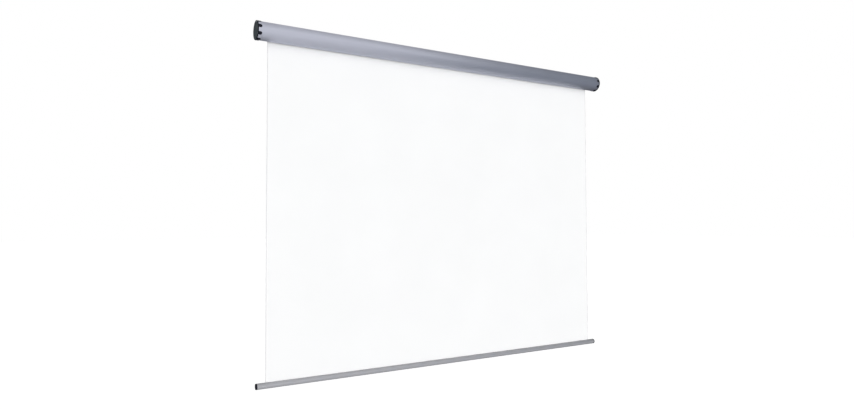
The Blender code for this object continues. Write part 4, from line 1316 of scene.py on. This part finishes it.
# %% Make the wound turns
ROLLER_RADIUS = radius_of("roller_tube")
TURNS_LEFT = 1.5
STEPS_A_TURN = 120
LAYER = CLOTH + GAP

count = round(TURNS_LEFT * STEPS_A_TURN)
spiral = []
for k in range(count + 1):
    turns = TURNS_LEFT * (1 - k / count)
    radius = ROLLER_RADIUS + GAP + LAYER * (TURNS_LEFT - turns) + CLOTH / 2
    spiral.append(polar(radius, turns * TURN, AXIS))
WOUND = swept_cloth("wound_cloth", spiral, columns=4)
stands_for(WOUND, "fabric_wrap")

# %% Make the hems
ROD = 0.0016  # radius
GROOVE_COVER = 0.0009  # metal between the groove's round part and the surface
GROOVE_DEPTH = ROD + GAP + CLOTH + GAP + GROOVE_COVER


def make_hem(name, node, centre, radius, mouth, reach):
    """A fold round a rod, its two tails side by side out of the groove's mouth."""
    loop = ROD + GAP + CLOTH / 2
    lean = math.asin(CLOTH / 2 / loop)
    path = [(reach, CLOTH / 2)] + arc(loop, lean, TURN - lean, step=SMALL) + [(reach, -CLOTH / 2)]
    placed = turned_to(path, mouth, polar(radius - GROOVE_DEPTH, mouth, centre))
    return stands_for(swept_cloth(name, placed, columns=4), node)


BAR_RADIUS = radius_of("bar_tube")
BAR_AXIS = middle_of("bar_tube")
TOP_HEM = make_hem("top_hem", "fabric_top_hem", AXIS, ROLLER_RADIUS, math.pi, GROOVE_DEPTH)
LOW_HEM = make_hem(
    "bottom_hem", "fabric_bottom_hem", BAR_AXIS, BAR_RADIUS, math.pi / 2, GROOVE_DEPTH + GAP
)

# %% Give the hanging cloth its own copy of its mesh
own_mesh(SHEET)

# %% [markdown]
# ## The bottom bar
# The bar is a silver tube with a keyhole groove along its top for the hem, and a dark plug
# in each end. Like the casing it is drawn from one outline with a hole.

# %% Make the bar
BAR_WALL = 0.0014
MOUTH = 0.0024
GROOVE = ROD + 2 * GAP + CLOTH  # radius of the groove's round part
GROOVE_WALL = 0.0012
GROOVE_CENTRE = BAR_RADIUS - GROOVE_DEPTH  # above the bar's middle
PLUG_CAP = 0.0050
PLUG_ROUND = 0.0018
PLUG_SPIGOT = 0.0180


def keyhole(radius, opening, small, small_opening):
    """A round outline that dips into a groove on top. An opening is half a gap's angle."""
    at = math.pi / 2
    return arc(radius, at + opening, at + TURN - opening) + arc(
        small, at - small_opening, at - TURN + small_opening, polar(GROOVE_CENTRE, at), SMALL
    )


def keyhole_outside():
    opening, small_opening = (math.asin(MOUTH / 2 / r) for r in (BAR_RADIUS, GROOVE))
    return keyhole(BAR_RADIUS, opening, GROOVE, small_opening)


def keyhole_inside(inset=0.0):
    inner = BAR_RADIUS - BAR_WALL - inset
    bulge = GROOVE + GROOVE_WALL + inset
    meet = meeting(inner, GROOVE_CENTRE, bulge)
    return keyhole(inner, seen(GROOVE_CENTRE, bulge, meet), bulge, meet)


loops = [keyhole_outside(), keyhole_inside()]
tube = drawn("bar_shell", loops, *span_of("bar_tube", 0), EASE, BAR_AXIS, smooth=30)
stands_for(tube, "bar_tube")

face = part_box("bar_plug_right")[1][0]
back = face - PLUG_CAP
profile = softened([
    (back, 0, 0), (back, BAR_RADIUS, EASE), (face, BAR_RADIUS, PLUG_ROUND), (face, 0, 0)
])
for word, side in SIDES:
    cap = turned("plug", mirrored(profile, side), BAR_AXIS, steps=120)
    reach = between(side, back - PLUG_SPIGOT, back + GAP)
    spigot = drawn("spigot", [keyhole_inside(GAP)], *reach, EASE, BAR_AXIS)
    stands_for(joined(f"bar_end_{word}", [cap, spigot]), f"bar_plug_{word}")

# %% [markdown]
# ## The rest of the mechanism
# The roller, its plugs, the ratchet and the spring sit inside the casing. Their shapes in the
# working model are already right, so they stay and only get their finishes.

# %% Finish the pieces that stay
kept = sorted(name for name, piece in frame["nodes"].items() if not piece.hide_render)
for name in kept:
    for slot in frame["nodes"][name].material_slots:
        slot.material = PAINTS[SLOT_OF[name]]
print("kept as they are:", ", ".join(kept))

# %% [markdown]
# ## Plain numbers for a box
# A box's corners are turned into plain lists of numbers.

# %% Turn a box into plain numbers
def plain(box):
    return [[float(value) for value in corner] for corner in box]
